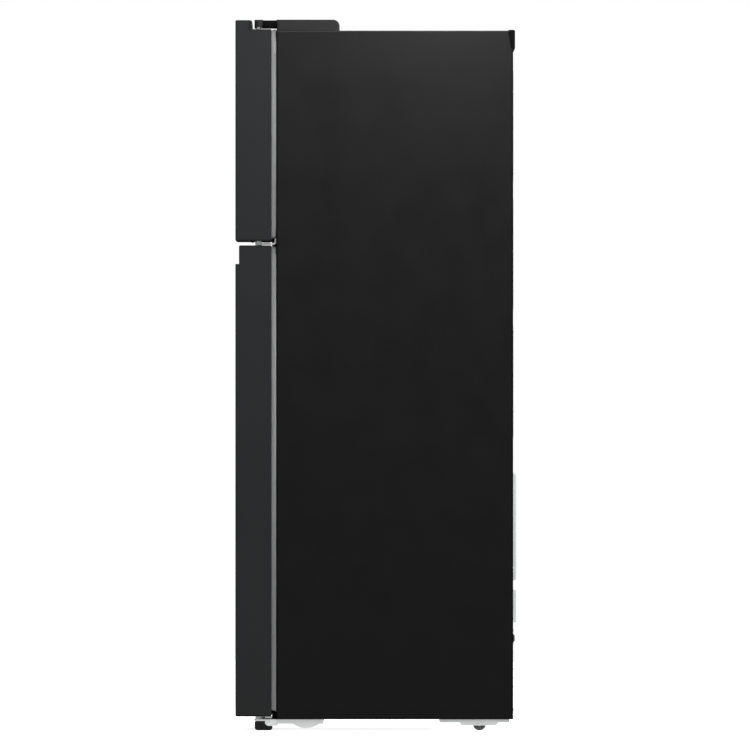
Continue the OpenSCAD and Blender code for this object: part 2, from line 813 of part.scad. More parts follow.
module ice_bin() {
  z0 = freezer_shelf_z + glass_t + 0.6;
  color([0.75, 0.86, 0.92, 0.6]) {
    bin(ice_x0 + 4, ice_x1 - 4, ice_y0 - 2, ice_y1 - 6, z0, z0 + 44, 2, 8);
    slab(ice_x0 + 34, ice_x1 - 34, ice_y0 - 6, ice_y0 - 1.5, z0 + 30, z0 + 44);
  }
}

// Fridge interior

module fridge_air_duct() {
  color([0.90, 0.91, 0.92]) difference() {
    slab(-85, 85, fridge_back - 22, fridge_back - 0.2, hump_z + 40, fridge_z1 - 4);
    slab(-82, 82, fridge_back - 19, fridge_back + eps, hump_z + 43, fridge_z1 - 7);
    for (z = shelf_levels, x = [-48, 48])
      slab(x - 26, x + 26, fridge_back - 24, fridge_back - 18, z + 60, z + 72);
  }
}

module control_housing() {
  color([0.90, 0.91, 0.92]) difference() {
    slab(-150, 150, switch_y0, 60, control_z0, fridge_z1 - 0.2);
    slab(-60, 146, -120, 56, control_z0 - eps, fridge_z1 - 4);
    slab(-146, -96, -120, 56, control_z0 - eps, fridge_z1 - 4);
    rod_y(switch_x, switch_y0 - eps, switch_y0 + 30, fridge_switch_z, switch_r + 0.1);
    rod_y(dial_x, switch_y0 - eps, switch_y0 + 20, dial_z, 4 + fit);
  }
}

module lamp_lens() {
  color([0.97, 0.97, 0.92, 0.8])
    slab(-58, 144, -118, 54, control_z0 + 1, control_z0 + 5);
}

module temperature_dial() {
  color([0.80, 0.81, 0.83]) {
    rod_y(dial_x, switch_y0 - 9, switch_y0 - 0.5, dial_z, 17);
    rod_y(dial_x, switch_y0 - 5, switch_y0 + 16, dial_z, 4);
    slab(dial_x - 2.5, dial_x + 2.5, switch_y0 - 13, switch_y0 - 8, dial_z - 15, dial_z + 15);
  }
}

module glass_shelves() {
  color([0.75, 0.85, 0.85, 0.5]) for (z = shelf_levels)
    slab(-fridge_x + 5, fridge_x - 5, shelf_y0 + 4, shelf_y1 - 4, z, z + glass_t);
}

// Plastic edge strips along the front and back of each fridge shelf
module shelf_trims() {
  color([0.92, 0.93, 0.93]) for (z = shelf_levels, end = [0, 1]) {
    y0 = end == 0 ? shelf_y0 : shelf_y1 - 10;
    difference() {
      slab(-fridge_x + 4, fridge_x - 4, y0, y0 + 10, z - 5, z + glass_t + trim_rise);
      slab(-fridge_x + 5, fridge_x - 5, y0 + (end == 0 ? 4 : -eps), y0 + (end == 0 ? 11 : 6),
           z, z + glass_t);
      slab(-fridge_x, -fridge_x + 9.5, y0 - 1, y0 + 11, z - 11, z);
      slab(fridge_x - 9.5, fridge_x, y0 - 1, y0 + 11, z - 11, z);
    }
  }
}

module crisper_cover() {
  color([0.75, 0.85, 0.85, 0.5])
    slab(-fridge_x + 2, fridge_x - 2, shelf_y0, shelf_y1, hump_z + 1, hump_z + 1 + glass_t);
}

// Drawer with a pull lip along its front
module drawer(x, y0, y1, z0, z1, wall) {
  bin(-x, x, y0, y1, z0, z1, wall, 14);
  slab(-x * 0.45, x * 0.45, y0 - 7, y0 + 0.5, z1 - 10, z1 - 7.5);
  slab(-x * 0.45, x * 0.45, y0 - 7, y0 - 5, z1 - 26, z1 - 7.5);
}

module chiller_drawer() {
  color([0.80, 0.86, 0.88, 0.6]) drawer(200, drawer_y0, 190, chiller_z0, 1010, 2.5);
}

module crisper_drawer() {
  color([0.80, 0.86, 0.88, 0.6])
    drawer(216.5, drawer_y0, hump_y - 6, fridge_z0 + 1, crisper_top - 4, 2.5);
}

module switch_plunger(z) {
  color([0.95, 0.95, 0.95]) rod_y(switch_x, switch_y0 - switch_out, switch_y0 + 18, z, switch_r);
}

// Doors

// Plan of a door, inset on every side, with round front corners
module door_plan(inset, front) {
  r = door_round - min(inset, 1);
  x = door_x - inset;
  y0 = front + inset;
  translate([-x, y0 + r]) square([2 * x, door_back - inset - y0 - r]);
  translate([-x + r, y0]) square([2 * x - 2 * r, r + 1]);
  for (side = [-1, 1]) translate([side * (x - r), y0 + r]) circle(r);
}

// Round outer edge of a door's end cap, in steps; up is 1 for a top end and -1 for a bottom end
module cap_edge(z, up, front) {
  for (s = [[2.2, 0], [0.9, 0.6], [0.2, 1.6]])
    along_z(up > 0 ? z - edge_h : z + s[1], up > 0 ? z - s[1] : z + edge_h)
      door_plan(s[0], front);
}

// Body of a door's end cap behind the skin
module cap_body(z0, z1, front) {
  along_z(z0, z1) intersection() {
    door_plan(steel_t, front);
    translate([-half_w, front_y]) square([cabinet_w, door_t - 1.5]);
  }
}

// Bent sheet of a door: front, sides and narrow returns at the back
module skin_plan(front) {
  difference() {
    door_plan(0, front);
    door_plan(steel_t, front);
    translate([-door_x + return_w, door_back - 2]) square([2 * (door_x - return_w), 4]);
  }
}

// Plan of the freezer door's lip; its hinge corner is cut off so that it swings past the hinge
module lip_plan(inset) {
  back = front_y + lip_d - inset;
  side = door_x - inset;
  intersection() {
    door_plan(inset, front_y);
    polygon([
      [-side, front_y - 1], [side + 1, front_y - 1], [side + 1, hinge_y - 27 - inset],
      [hinge_x + 4 - inset, back], [-side, back]
    ]);
  }
}

// Where the skin runs on up into the lip
module lip_skin_plan() {
  intersection() {
    skin_plan(front_y);
    lip_plan(0);
  }
}

module freezer_door_skin() {
  color([0.14, 0.145, 0.15]) {
    along_z(freezer_door_z0 + edge_h, freezer_door_z1 - edge_h) skin_plan(front_y);
    along_z(freezer_door_z1 - edge_h - eps, freezer_door_z1) lip_skin_plan();
    difference() {
      along_z(freezer_door_z1, lip_z - edge_h) lip_plan(0);
      along_z(freezer_door_z1 - eps, lip_z) lip_plan(steel_t);
    }
  }
}

module freezer_door_caps() {
  color([0.10, 0.10, 0.11]) {
    difference() {
      union() {
        cap_body(freezer_door_z1 - cap_t, freezer_door_z1 - edge_h + 0.1, front_y);
        difference() {
          cap_edge(freezer_door_z1, 1, front_y);
          along_z(freezer_door_z1 - 2 * edge_h, freezer_door_z1 + eps) lip_skin_plan();
        }
        along_z(freezer_door_z1 - edge_h, lip_z - edge_h) lip_plan(steel_t);
        for (s = [[2.2, 0], [0.9, 0.6], [0.2, 1.6]])
          along_z(lip_z - edge_h, lip_z - s[1]) lip_plan(s[0]);
      }
      post(hinge_x, hinge_y, freezer_door_z1 - cap_t - eps, freezer_door_z1 + eps, top_pin_r + fit);
    }
    difference() {
      union() {
        cap_edge(freezer_door_z0, -1, front_y);
        cap_body(freezer_door_z0 + edge_h - 0.1, freezer_grip_z + 4, front_y);
      }
      slab(grip_x0, grip_x1, front_y + recess_d, grip_y, freezer_door_z0 - eps, freezer_grip_z);
      post(hinge_x, hinge_y, freezer_door_z0 - eps, freezer_door_z0 + 21, pin_r + fit);
    }
    slab(hinge_x - 20, hinge_x + 5, hinge_y + 9, hinge_y + 27,
         freezer_door_z0 - 3.6, freezer_door_z0 + 0.5);
    along_x(hinge_x - 20, hinge_x + 5) polygon([
      [front_y + 33.5, freezer_door_z0 + 0.5], [front_y + 33.5, freezer_door_z0 - 0.5],
      [front_y + 38, freezer_door_z0 - 4], [front_y + 41.5, freezer_door_z0 - 4],
      [front_y + 42.5, freezer_door_z0 - 3], [front_y + 42.5, freezer_door_z0 + 0.5]
    ]);
  }
}

module freezer_door_foam() {
  color([0.93, 0.87, 0.68])
    cap_body(freezer_grip_z + 4, freezer_door_z1 - cap_t, front_y);
}

// Inner liner of a door: a flat sheet between the skin's returns, and a raised frame for baskets
module door_liner(z0, z1, dyke_x, dyke_z0, dyke_z1) {
  slab(-door_x + return_w, door_x - return_w, door_back - 1.5, door_back, z0 + edge_h, z1 - edge_h);
  frame_xz(dyke_x, dyke_z0, dyke_z1, dyke_t, door_back - 0.5, dyke_y);
}

module freezer_door_liner() {
  color([0.94, 0.95, 0.95])
    door_liner(freezer_door_z0, freezer_door_z1, freezer_dyke_x, freezer_z0 + 8, freezer_z1 - 7);
}

module door_gasket(z0, z1) {
  difference() {
    slab(-hinge_x, hinge_x, door_back, cab_front - 0.3, z0, z1);
    slab(-hinge_x + seal_w, hinge_x - seal_w, door_back - eps, cab_front + eps,
         z0 + seal_w, z1 - seal_w);
  }
}

module freezer_door_gasket() {
  color([0.60, 0.60, 0.61]) door_gasket(freezer_door_z0 + 8, cabinet_top + 2.8);
}

// Basket in a door: a bin with a low rail along its inner edge
module door_basket(x, z0, z1, out) {
  bin(-x, x, door_back + 0.6, cab_front + out, z0, z1, 2, 12);
}

module freezer_basket_upper() {
  color([0.85, 0.90, 0.92, 0.6])
    door_basket(freezer_dyke_x - dyke_t - 0.5, 1390, 1455, freezer_reach);
}

module freezer_basket_lower() {
  color([0.85, 0.90, 0.92, 0.6])
    door_basket(freezer_dyke_x - dyke_t - 0.5, freezer_z0 + 19.5, freezer_z0 + 94.5, freezer_reach);
}

module fridge_door_skin() {
  color([0.13, 0.135, 0.14]) {
    along_z(fridge_door_z0 + edge_h, recess_z) skin_plan(front_y);
    along_z(recess_z, fridge_door_z1 - edge_h) difference() {
      skin_plan(front_y + recess_d);
      translate([-door_x + 6, front_y]) square([2 * door_x - 12, recess_d + 6]);
    }
  }
}

module fridge_door_caps() {
  color([0.10, 0.10, 0.11]) {
    difference() {
      union() {
        cap_body(fridge_grip_z - 4, recess_z, front_y);
        cap_body(recess_z - eps, fridge_door_z1 - edge_h + 0.1, front_y + recess_d);
        cap_edge(fridge_door_z1, 1, front_y + recess_d);
      }
      slab(grip_x0, grip_x1, front_y + recess_d, grip_y, fridge_grip_z, fridge_door_z1 + eps);
      post(hinge_x, hinge_y, fridge_door_z1 - 19, fridge_door_z1 + eps, pin_r + fit);
    }
    difference() {
      union() {
        cap_edge(fridge_door_z0, -1, front_y);
        cap_body(fridge_door_z0 + edge_h - 0.1, fridge_door_z0 + cap_t, front_y);
      }
      post(hinge_x, hinge_y, fridge_door_z0 - eps, fridge_door_z0 + 19, pin_r + fit);
    }
  }
}

module fridge_door_foam() {
  color([0.93, 0.87, 0.68])
    cap_body(fridge_door_z0 + cap_t, fridge_grip_z - 4, front_y);
}

module fridge_door_liner() {
  color([0.94, 0.95, 0.95])
    door_liner(fridge_door_z0, fridge_door_z1, fridge_dyke_x, fridge_z0 + 8, fridge_z1 - 10);
}

module fridge_door_gasket() {
  color([0.58, 0.58, 0.59]) door_gasket(fridge_seal_z0, fridge_door_z1 - 2.5);
}

module fridge_baskets() {
  color([0.85, 0.90, 0.92, 0.6]) for (z = [560, 830])
    door_basket(fridge_dyke_x - dyke_t - 0.5, z, z + 75, fridge_reach);
}

module bottle_basket() {
  color([0.85, 0.90, 0.92, 0.6])
    door_basket(fridge_dyke_x - dyke_t - 0.5, fridge_z0 + 19.5, fridge_z0 + 125, fridge_reach);
}

outer_shell();
back_panel();
base_panel();
cabinet_foam();
freezer_liner();
fridge_liner();
front_rails();
rear_top_cap();
compressor_base();
compressor();
compressor_mounts();
refrigerant_lines();
drain_pan();
machine_cover();
cord_gland();
control_board_cover();
roller_axles();
foot_bracket();
bottom_hinge();
middle_hinge();
top_hinge();
top_hinge_cover();
hinge_screws();
freezer_shelf();
freezer_air_cover();
evaporator();
fan_motor();
ice_tray_frame();
fridge_air_duct();
control_housing();
lamp_lens();
glass_shelves();
shelf_trims();
crisper_cover();
evaporator_fan();
ice_tray();
ice_bin();
chiller_drawer();
crisper_drawer();
temperature_dial();
switch_plunger(freezer_switch_z);  // freezer_switch
switch_plunger(fridge_switch_z);  // fridge_switch
rear_roller(-1);  // rear_roller_left
rear_roller(1);  // rear_roller_right
levelling_foot(-1);  // levelling_foot_left
levelling_foot(1);  // levelling_foot_right
freezer_door_skin();
freezer_door_foam();
freezer_door_liner();
freezer_door_caps();
freezer_door_gasket();
freezer_basket_upper();
freezer_basket_lower();
fridge_door_skin();
fridge_door_foam();
fridge_door_liner();
fridge_door_caps();
fridge_door_gasket();
fridge_baskets();
bottle_basket();
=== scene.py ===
"""Top freezer refrigerator: camera, light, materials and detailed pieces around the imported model.

Units are metres in the row frame: +Z is up, -Y is the front and +X is the hinge side.
"""

import json
import math

import bmesh
import bpy
from mathutils import Matrix, Vector


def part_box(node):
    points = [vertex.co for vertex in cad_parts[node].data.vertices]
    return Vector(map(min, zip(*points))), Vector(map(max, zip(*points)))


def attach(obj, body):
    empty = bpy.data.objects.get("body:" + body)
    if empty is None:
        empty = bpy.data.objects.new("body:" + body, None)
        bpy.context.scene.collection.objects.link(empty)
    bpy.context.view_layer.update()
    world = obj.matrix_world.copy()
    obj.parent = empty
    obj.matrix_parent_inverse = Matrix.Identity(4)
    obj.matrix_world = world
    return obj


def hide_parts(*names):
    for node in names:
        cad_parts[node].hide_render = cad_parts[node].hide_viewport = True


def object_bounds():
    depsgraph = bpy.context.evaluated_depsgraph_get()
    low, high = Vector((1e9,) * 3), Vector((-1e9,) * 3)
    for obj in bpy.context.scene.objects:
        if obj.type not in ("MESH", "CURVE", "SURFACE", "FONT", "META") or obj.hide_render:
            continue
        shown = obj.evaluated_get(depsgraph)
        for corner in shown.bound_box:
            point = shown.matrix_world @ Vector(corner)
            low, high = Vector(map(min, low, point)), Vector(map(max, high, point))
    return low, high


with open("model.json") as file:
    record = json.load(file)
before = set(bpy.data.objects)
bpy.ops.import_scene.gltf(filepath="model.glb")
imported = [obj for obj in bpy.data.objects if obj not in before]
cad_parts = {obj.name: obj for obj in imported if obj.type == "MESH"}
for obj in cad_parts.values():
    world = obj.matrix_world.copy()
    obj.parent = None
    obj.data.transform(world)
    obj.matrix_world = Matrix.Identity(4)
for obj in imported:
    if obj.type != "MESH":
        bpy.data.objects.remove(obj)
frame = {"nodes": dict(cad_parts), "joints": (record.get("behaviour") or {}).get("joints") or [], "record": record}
CAD_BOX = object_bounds()
NODES = frame["nodes"]
SLOT_OF = {s["node"]: s["material_slot"] for s in frame["record"]["subparts"]}
MM = 0.001
SOFT_LIGHT = 0.72  # strength of the world's light, and of the floor's own
EDGE_WIDTH = 0.6  # mm, the round on a CAD node's edges where the table below gives none
EDGE_WIDTHS = {
    "outer_shell": 0.3, "back_panel": 0.25, "base_panel": 0.3, "front_rails": 0.5,
    "freezer_door_skin": 0.25, "fridge_door_skin": 0.25, "cabinet_foam": 0.5, "top_hinge_cover": 0.8,
    "rear_top_cap": 0.8, "freezer_door_caps": 1.4, "fridge_door_caps": 1.2, "compressor": 1.5,
    "compressor_base": 0.5, "control_board_cover": 1.0, "machine_cover": 0.4, "glass_shelves": 0.8,
    "freezer_shelf": 0.8, "crisper_cover": 0.8, "shelf_trims": 1.0, "control_housing": 2.0,
    "ice_tray_frame": 0.8, "ice_tray": 0.9, "evaporator_fan": 0.5, "fan_motor": 1.0, "evaporator": 0.2,
    "roller_axles": 0.4,
}


def add_object(name, data):
    obj = bpy.data.objects.new(name, data)
    bpy.context.scene.collection.objects.link(obj)
    return obj


# ---------------------------------------------------------------- camera, floor and light

def make_camera():
    """A very long lens level with the middle of the side, as near to a parallel view as it gets."""
    lo, hi = CAD_BOX
    frame_width = 1.7198
    lens, sensor = 1200.0, 36.0
    data = bpy.data.cameras.new("camera")
    data.lens, data.sensor_width = lens, sensor
    distance = frame_width * lens / sensor
    camera = add_object("camera", data)
    aim_y = lo.y + 0.3203
    aim_z = 0.8152
    camera.location = (hi.x + distance, aim_y, aim_z)
    camera.rotation_euler = (math.radians(90), 0, math.radians(90))
    data.clip_start, data.clip_end = 1.0, distance * 2
    bpy.context.scene.camera = camera


def area_light(name, place, target, size, watts, color=(1, 1, 1)):
    data = bpy.data.lights.new(name, "AREA")
    data.shape, data.size, data.size_y = "RECTANGLE", size[0], size[1]
    data.energy, data.color = watts, color
    light = add_object(name, data)
    light.location = place
    light.visible_camera = False
    light.rotation_euler = (Vector(target) - Vector(place)).to_track_quat("-Z", "Y").to_euler()


def make_light():
    area_light("light_side_top", (1.35, 0.15, 2.85), (0.28, 0.0, 1.55), (1.2, 1.6), 27)
    area_light("light_top_edge", (0.62, 0.15, 1.98), (0.277, 0.10, 1.66), (0.12, 0.9), 1.55)
    area_light("light_front", (-0.9, -3.4, 2.1), (0, 0, 0.9), (2.4, 2.4), 45)
    area_light("light_back", (0.7, 3.4, 2.3), (0, 0, 0.9), (2.4, 2.4), 40)
    area_light("light_far_side", (-3.2, 0.2, 2.2), (0, 0, 0.9), (2.4, 2.4), 40)
    world = bpy.data.worlds.new("studio")
    bpy.context.scene.world = world
    world.use_nodes = True
    nodes, links = world.node_tree.nodes, world.node_tree.links
    nodes.clear()
    path, output = nodes.new("ShaderNodeLightPath"), nodes.new("ShaderNodeOutputWorld")
    shades = []
    for strength in (SOFT_LIGHT, 0.085, 1.0):
        background = nodes.new("ShaderNodeBackground")
        background.inputs["Color"].default_value = (1, 1, 1, 1)
        background.inputs["Strength"].default_value = strength
        shades.append(background.outputs["Background"])
    soft, mirrored, seen = shades
    for ray, shade in (("Is Glossy Ray", mirrored), ("Is Camera Ray", seen)):
        mix = nodes.new("ShaderNodeMixShader")
        links.new(path.outputs[ray], mix.inputs["Fac"])
        links.new(soft, mix.inputs[1])
        links.new(shade, mix.inputs[2])
        soft = mix.outputs["Shader"]
    links.new(soft, output.inputs["Surface"])
    view = bpy.context.scene.view_settings
    view.view_transform, view.look = "Standard", "None"


def make_floor():
    """A pale floor that a little light of its own keeps as white as the background."""
    mesh = bpy.data.meshes.new("floor")
    side = 14
    corners = [(-side, -side, 0), (side, -side, 0), (side, side, 0), (-side, side, 0)]
    mesh.from_pydata(corners, [], [(0, 1, 2, 3)])
    floor = add_object("floor", mesh)
    material = bpy.data.materials.new("floor_white")
    material.use_nodes = True
    shader = material.node_tree.nodes["Principled BSDF"]
    shader.inputs["Base Color"].default_value = (0.8, 0.8, 0.8, 1)
    shader.inputs["Roughness"].default_value = 1.0
    shader.inputs["Specular IOR Level"].default_value = 0.0
    shader.inputs["Emission Color"].default_value = (1, 1, 1, 1)
    shader.inputs["Emission Strength"].default_value = SOFT_LIGHT
    mesh.materials.append(material)
    floor.visible_diffuse = False
    floor.visible_glossy = False


# ---------------------------------------------------------------- materials

class Paint:
    """One material: a principled shader with colour, roughness and bump from noise."""

    def __init__(self, name, color, roughness, **sockets):
        self.material = bpy.data.materials.new(name)
        self.material.use_nodes = True
        self.nodes = self.material.node_tree.nodes
        self.links = self.material.node_tree.links
        self.shader = self.nodes["Principled BSDF"]
        self.color = color
        self.shader.inputs["Base Color"].default_value = (*color, 1)
        self.shader.inputs["Roughness"].default_value = roughness
        for key, value in sockets.items():
            self.shader.inputs[key.replace("_", " ")].default_value = value
        self.coords = self.nodes.new("ShaderNodeTexCoord")
        self.normal = None

    def noise(self, scale, stretch=(1, 1, 1), detail=3.0):
        mapping = self.nodes.new("ShaderNodeMapping")
        mapping.inputs["Scale"].default_value = stretch
        self.links.new(self.coords.outputs["Object"], mapping.inputs["Vector"])
        texture = self.nodes.new("ShaderNodeTexNoise")
        texture.inputs["Scale"].default_value = scale
        texture.inputs["Detail"].default_value = detail
        self.links.new(mapping.outputs["Vector"], texture.inputs["Vector"])
        return texture.outputs["Fac"]

    def vary_color(self, fac, spread):
        """Colour between (1 - spread) and (1 + spread) of the base colour."""
        ramp = self.nodes.new("ShaderNodeValToRGB")
        ramp.color_ramp.elements[0].position = 0.35
        ramp.color_ramp.elements[1].position = 0.65
        for element, k in zip(ramp.color_ramp.elements, (1 - spread, 1 + spread)):
            element.color = (*[min(c * k, 1) for c in self.color], 1)
        self.links.new(fac, ramp.inputs["Fac"])
        self.links.new(ramp.outputs["Color"], self.shader.inputs["Base Color"])
        return self

    def vary_roughness(self, fac, low, high):
        span = self.nodes.new("ShaderNodeMapRange")
        span.inputs["From Min"].default_value, span.inputs["From Max"].default_value = 0.3, 0.7
        span.inputs["To Min"].default_value, span.inputs["To Max"].default_value = low, high
        self.links.new(fac, span.inputs["Value"])
        self.links.new(span.outputs["Result"], self.shader.inputs["Roughness"])
        return self

    def bump(self, fac, strength, depth):
        node = self.nodes.new("ShaderNodeBump")
        node.inputs["Strength"].default_value = strength
        node.inputs["Distance"].default_value = depth
        self.links.new(fac, node.inputs["Height"])
        if self.normal is not None:
            self.links.new(self.normal, node.inputs["Normal"])
        self.normal = node.outputs["Normal"]
        self.links.new(self.normal, self.shader.inputs["Normal"])
        return self


def coated_steel(name, color, roughness, specular, grain):
    """Coated sheet: fine orange peel, faint mottling, and a grain along one axis if there is one."""
    p = Paint(name, color, roughness, Specular_IOR_Level=specular)
    p.vary_color(p.noise(6, detail=4), 0.03)
    p.vary_roughness(p.noise(14), roughness - 0.05, roughness + 0.05)
    p.bump(p.noise(520, detail=2), 0.10, 0.0003)
    if grain:
        p.bump(p.noise(60, stretch=grain, detail=2), 0.10, 0.0002)
    return p.material


def plastic(name, color, roughness, grain=900, specular=0.4, spread=0.04, relief=0.18):
    """Moulded plastic with a spark-eroded grain."""
    p = Paint(name, color, roughness, Specular_IOR_Level=specular)
    p.vary_color(p.noise(18), spread)
    p.vary_roughness(p.noise(60), roughness - 0.06, roughness + 0.06)
    p.bump(p.noise(grain, detail=2), relief, 0.0002)
    return p.material


def metal(name, color, roughness, stretch=(1, 1, 1), spread=0.10, metallic=1.0):
    scale = 90
    p = Paint(name, color, roughness, Metallic=metallic)
    p.vary_color(p.noise(110, detail=5), spread)
    p.vary_roughness(p.noise(scale, stretch=stretch), roughness - 0.10, roughness + 0.10)
    p.bump(p.noise(scale * 3, stretch=stretch, detail=2), 0.08, 0.0002)
    return p.material


def clear(name, color, roughness, alpha, ior=1.50):
    """Clear plastic or glass, seen through by alpha so that it stays light and quick."""
    p = Paint(name, color, roughness, Alpha=alpha, IOR=ior, Specular_IOR_Level=0.5)
    p.vary_color(p.noise(9), 0.03)
    p.vary_roughness(p.noise(35), roughness, roughness + 0.06)
    p.bump(p.noise(40, detail=1), 0.04, 0.0003)
    return p.material


def foam(name, color):
    p = Paint(name, color, 0.9, Specular_IOR_Level=0.2)
    p.vary_color(p.noise(30, detail=6), 0.16)
    p.bump(p.noise(420, detail=4), 0.6, 0.001)
    return p.material


def make_materials():
    vertical = (14, 14, 0.12)
    across = (0.12, 14, 14)
    made = {}

    def add(maker, name, *values, **options):
        made[name] = maker(name, *values, **options)

    add(coated_steel, "cabinet_paint", (0.0058, 0.0058, 0.0060), 0.50, 0.50, None)
    add(coated_steel, "door_paint", (0.0232, 0.0243, 0.0252), 0.55, 0.20, vertical)
    add(metal, "zinc_sheet", (0.60, 0.61, 0.62), 0.45, across, 0.04, metallic=0.45)
    add(foam, "foam", (0.80, 0.68, 0.40))
    add(plastic, "liner_plastic", (0.86, 0.87, 0.87), 0.32, 500, 0.5, spread=0.012, relief=0.03)
    add(plastic, "dark_plastic", (0.0190, 0.0190, 0.0195), 0.52)
    # matte_plastic also makes the dark strips that paint shade along the cabinet's edges and in the hinge cover's
    # neck
    add(plastic, "matte_plastic", (0.0030, 0.0030, 0.0031), 0.65, specular=0.10)
    add(plastic, "door_edge_plastic", (0.0170, 0.0175, 0.0180), 0.50, specular=0.25)
    add(plastic, "roller_plastic", (0.145, 0.155, 0.150), 0.60)
    add(plastic, "grey_plastic", (0.76, 0.77, 0.78), 0.50, spread=0.012)
    add(plastic, "pale_plastic", (0.93, 0.94, 0.94), 0.45, spread=0.012)
    add(coated_steel, "black_steel", (0.010, 0.010, 0.011), 0.30, 0.5, None)
    add(plastic, "rubber", (0.050, 0.052, 0.052), 0.75, 300, 0.25)
    add(metal, "copper", (0.80, 0.40, 0.22), 0.35, metallic=0.7)
    add(metal, "bright_steel", (0.92, 0.93, 0.93), 0.36, spread=0.03, metallic=0.08)
    add(coated_steel, "bracket_steel", (0.90, 0.93, 0.92), 0.45, 0.5, None)
    add(metal, "aluminium_fins", (0.80, 0.81, 0.82), 0.38, vertical, metallic=0.5)
    add(plastic, "gasket", (0.72, 0.72, 0.725), 0.60, 260, 0.25, spread=0.015)
    add(clear, "shelf_glass", (0.60, 0.82, 0.75), 0.04, 0.24, 1.52)
    add(clear, "clear_plastic", (0.80, 0.87, 0.91), 0.12, 0.36)
    add(clear, "lens_plastic", (0.92, 0.92, 0.88), 0.35, 0.80)
    return made


# ---------------------------------------------------------------- mesh helpers

def both_sides(a, b):
    """The pair of x between a and b, on the left and then on the right."""
    return [sorted((side * a, side * b)) for side in (-1, 1)]


def corner_arc(cx, cy, r, start, steps):
    angles = [start + math.pi / 2 * i / steps for i in range(steps + 1)]
    return [(cx + r * math.cos(a), cy + r * math.sin(a)) for a in angles]


def rounded_rect(x0, x1, y0, y1, r, steps=5):
    """Points round a rectangle with round corners, anticlockwise from its lower right corner."""
    r = max(min(r, (x1 - x0) / 2 - 1e-5, (y1 - y0) / 2 - 1e-5), 1e-5)
    return (
        corner_arc(x1 - r, y0 + r, r, -math.pi / 2, steps)
        + corner_arc(x1 - r, y1 - r, r, 0, steps)
        + corner_arc(x0 + r, y1 - r, r, math.pi / 2, steps)
        + corner_arc(x0 + r, y0 + r, r, math.pi, steps)
    )


def loft(bm, loops, cap_first=False, cap_last=False, ring=False):
    """Joins loops of equally many points with quads; ring joins the last loop to the first too."""
    rows = [[bm.verts.new(p) for p in loop] for loop in loops]
    pairs = list(zip(rows, rows[1:])) + ([(rows[-1], rows[0])] if ring else [])
    for a, b in pairs:
        for i in range(len(a)):
            j = (i + 1) % len(a)
            bm.faces.new((a[i], a[j], b[j], b[i]))
    if cap_first:
        bm.faces.new(rows[0])
    if cap_last:
        bm.faces.new(rows[-1])
    return rows


def block(bm, x, y, z, edge=0.001, segments=2):
    """A block between pairs of x, y and z with bevelled edges."""
    made = bmesh.ops.create_cube(bm, size=1.0)["verts"]
    size = Vector((x[1] - x[0], y[1] - y[0], z[1] - z[0]))
    centre = Vector(((x[0] + x[1]) / 2, (y[0] + y[1]) / 2, (z[0] + z[1]) / 2))
    for v in made:
        v.co = Vector((v.co.x * size.x, v.co.y * size.y, v.co.z * size.z)) + centre
    edges = {e for v in made for e in v.link_edges}
    edge = min(edge, min(size) * 0.45)
    bmesh.ops.bevel(bm, geom=list(edges), offset=edge, segments=segments, affect="EDGES", profile=0.5)


AXES = {
    "x": Matrix.Rotation(math.pi / 2, 4, "Y"),
    "-x": Matrix.Rotation(-math.pi / 2, 4, "Y"),
    "y": Matrix.Rotation(-math.pi / 2, 4, "X"),
    "-y": Matrix.Rotation(math.pi / 2, 4, "X"),
    "z": Matrix.Identity(4),
    "-z": Matrix.Rotation(math.pi, 4, "X"),
}


def lathe(bm, profile, centre, axis="z", steps=40, wave=None):
    """Turns (radius, height) points about an axis; wave(angle, radius, height) scales the radius."""
    place = Matrix.Translation(Vector(centre)) @ AXES[axis]
    loops = []
    for r, h in profile:
        loop = []
        for i in range(steps):
            a = 2 * math.pi * i / steps
            k = wave(a, r, h) if wave else 1.0
            loop.append(place @ Vector((r * k * math.cos(a), r * k * math.sin(a), h)))
        loops.append(loop)
    loft(bm, loops, cap_first=True, cap_last=True)


def piece(name, bm, body, slot, replaces=(), sharp=35.0, solid=None):
    """Turns a bmesh into an object that rides on a body and has its slot's material."""
    bmesh.ops.remove_doubles(bm, verts=bm.verts, dist=1e-6)
    bmesh.ops.recalc_face_normals(bm, faces=bm.faces)
    limit = math.radians(sharp)
    for face in bm.faces:
        face.smooth = True
    for edge in bm.edges:
        if len(edge.link_faces) == 2:
            edge.smooth = edge.calc_face_angle(0.0) < limit
    mesh = bpy.data.meshes.new(name)
    bm.to_mesh(mesh)
    bm.free()
    mesh.materials.append(MATERIALS[slot])
    obj = add_object(name, mesh)
    if solid:
        modifier = obj.modifiers.new("thickness", "SOLIDIFY")
        modifier.thickness, modifier.offset = solid
    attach(obj, body)
    if replaces:
        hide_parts(*replaces)
    return obj


def bent_path(points, radius, steps=6):
    """A path whose inner corners are rounded, for tubes."""
    points = [Vector(p) for p in points]
    path = [points[0]]
    for a, b, c in zip(points, points[1:], points[2:]):
        before, after = (a - b).normalized(), (c - b).normalized()
        start, end = b + before * radius, b + after * radius
        for i in range(steps + 1):
            t = i / steps
            path.append(start * (1 - t) ** 2 + b * 2 * t * (1 - t) + end * t**2)
    return path + [points[-1]]


def tube(name, points, radius, body, slot, bend):
    """A round tube along points, with its corners bent."""
    curve = bpy.data.curves.new(name, "CURVE")
    curve.dimensions = "3D"
    curve.bevel_depth, curve.bevel_resolution, curve.use_fill_caps = radius, 4, True
    path = bent_path(points, bend)
    spline = curve.splines.new("POLY")
    spline.points.add(len(path) - 1)
    for p, co in zip(spline.points, path):
        p.co = (*co, 1)
    spline.use_smooth = True
    curve.materials.append(MATERIALS[slot])
    obj = add_object(name, curve)
    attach(obj, body)
    return obj


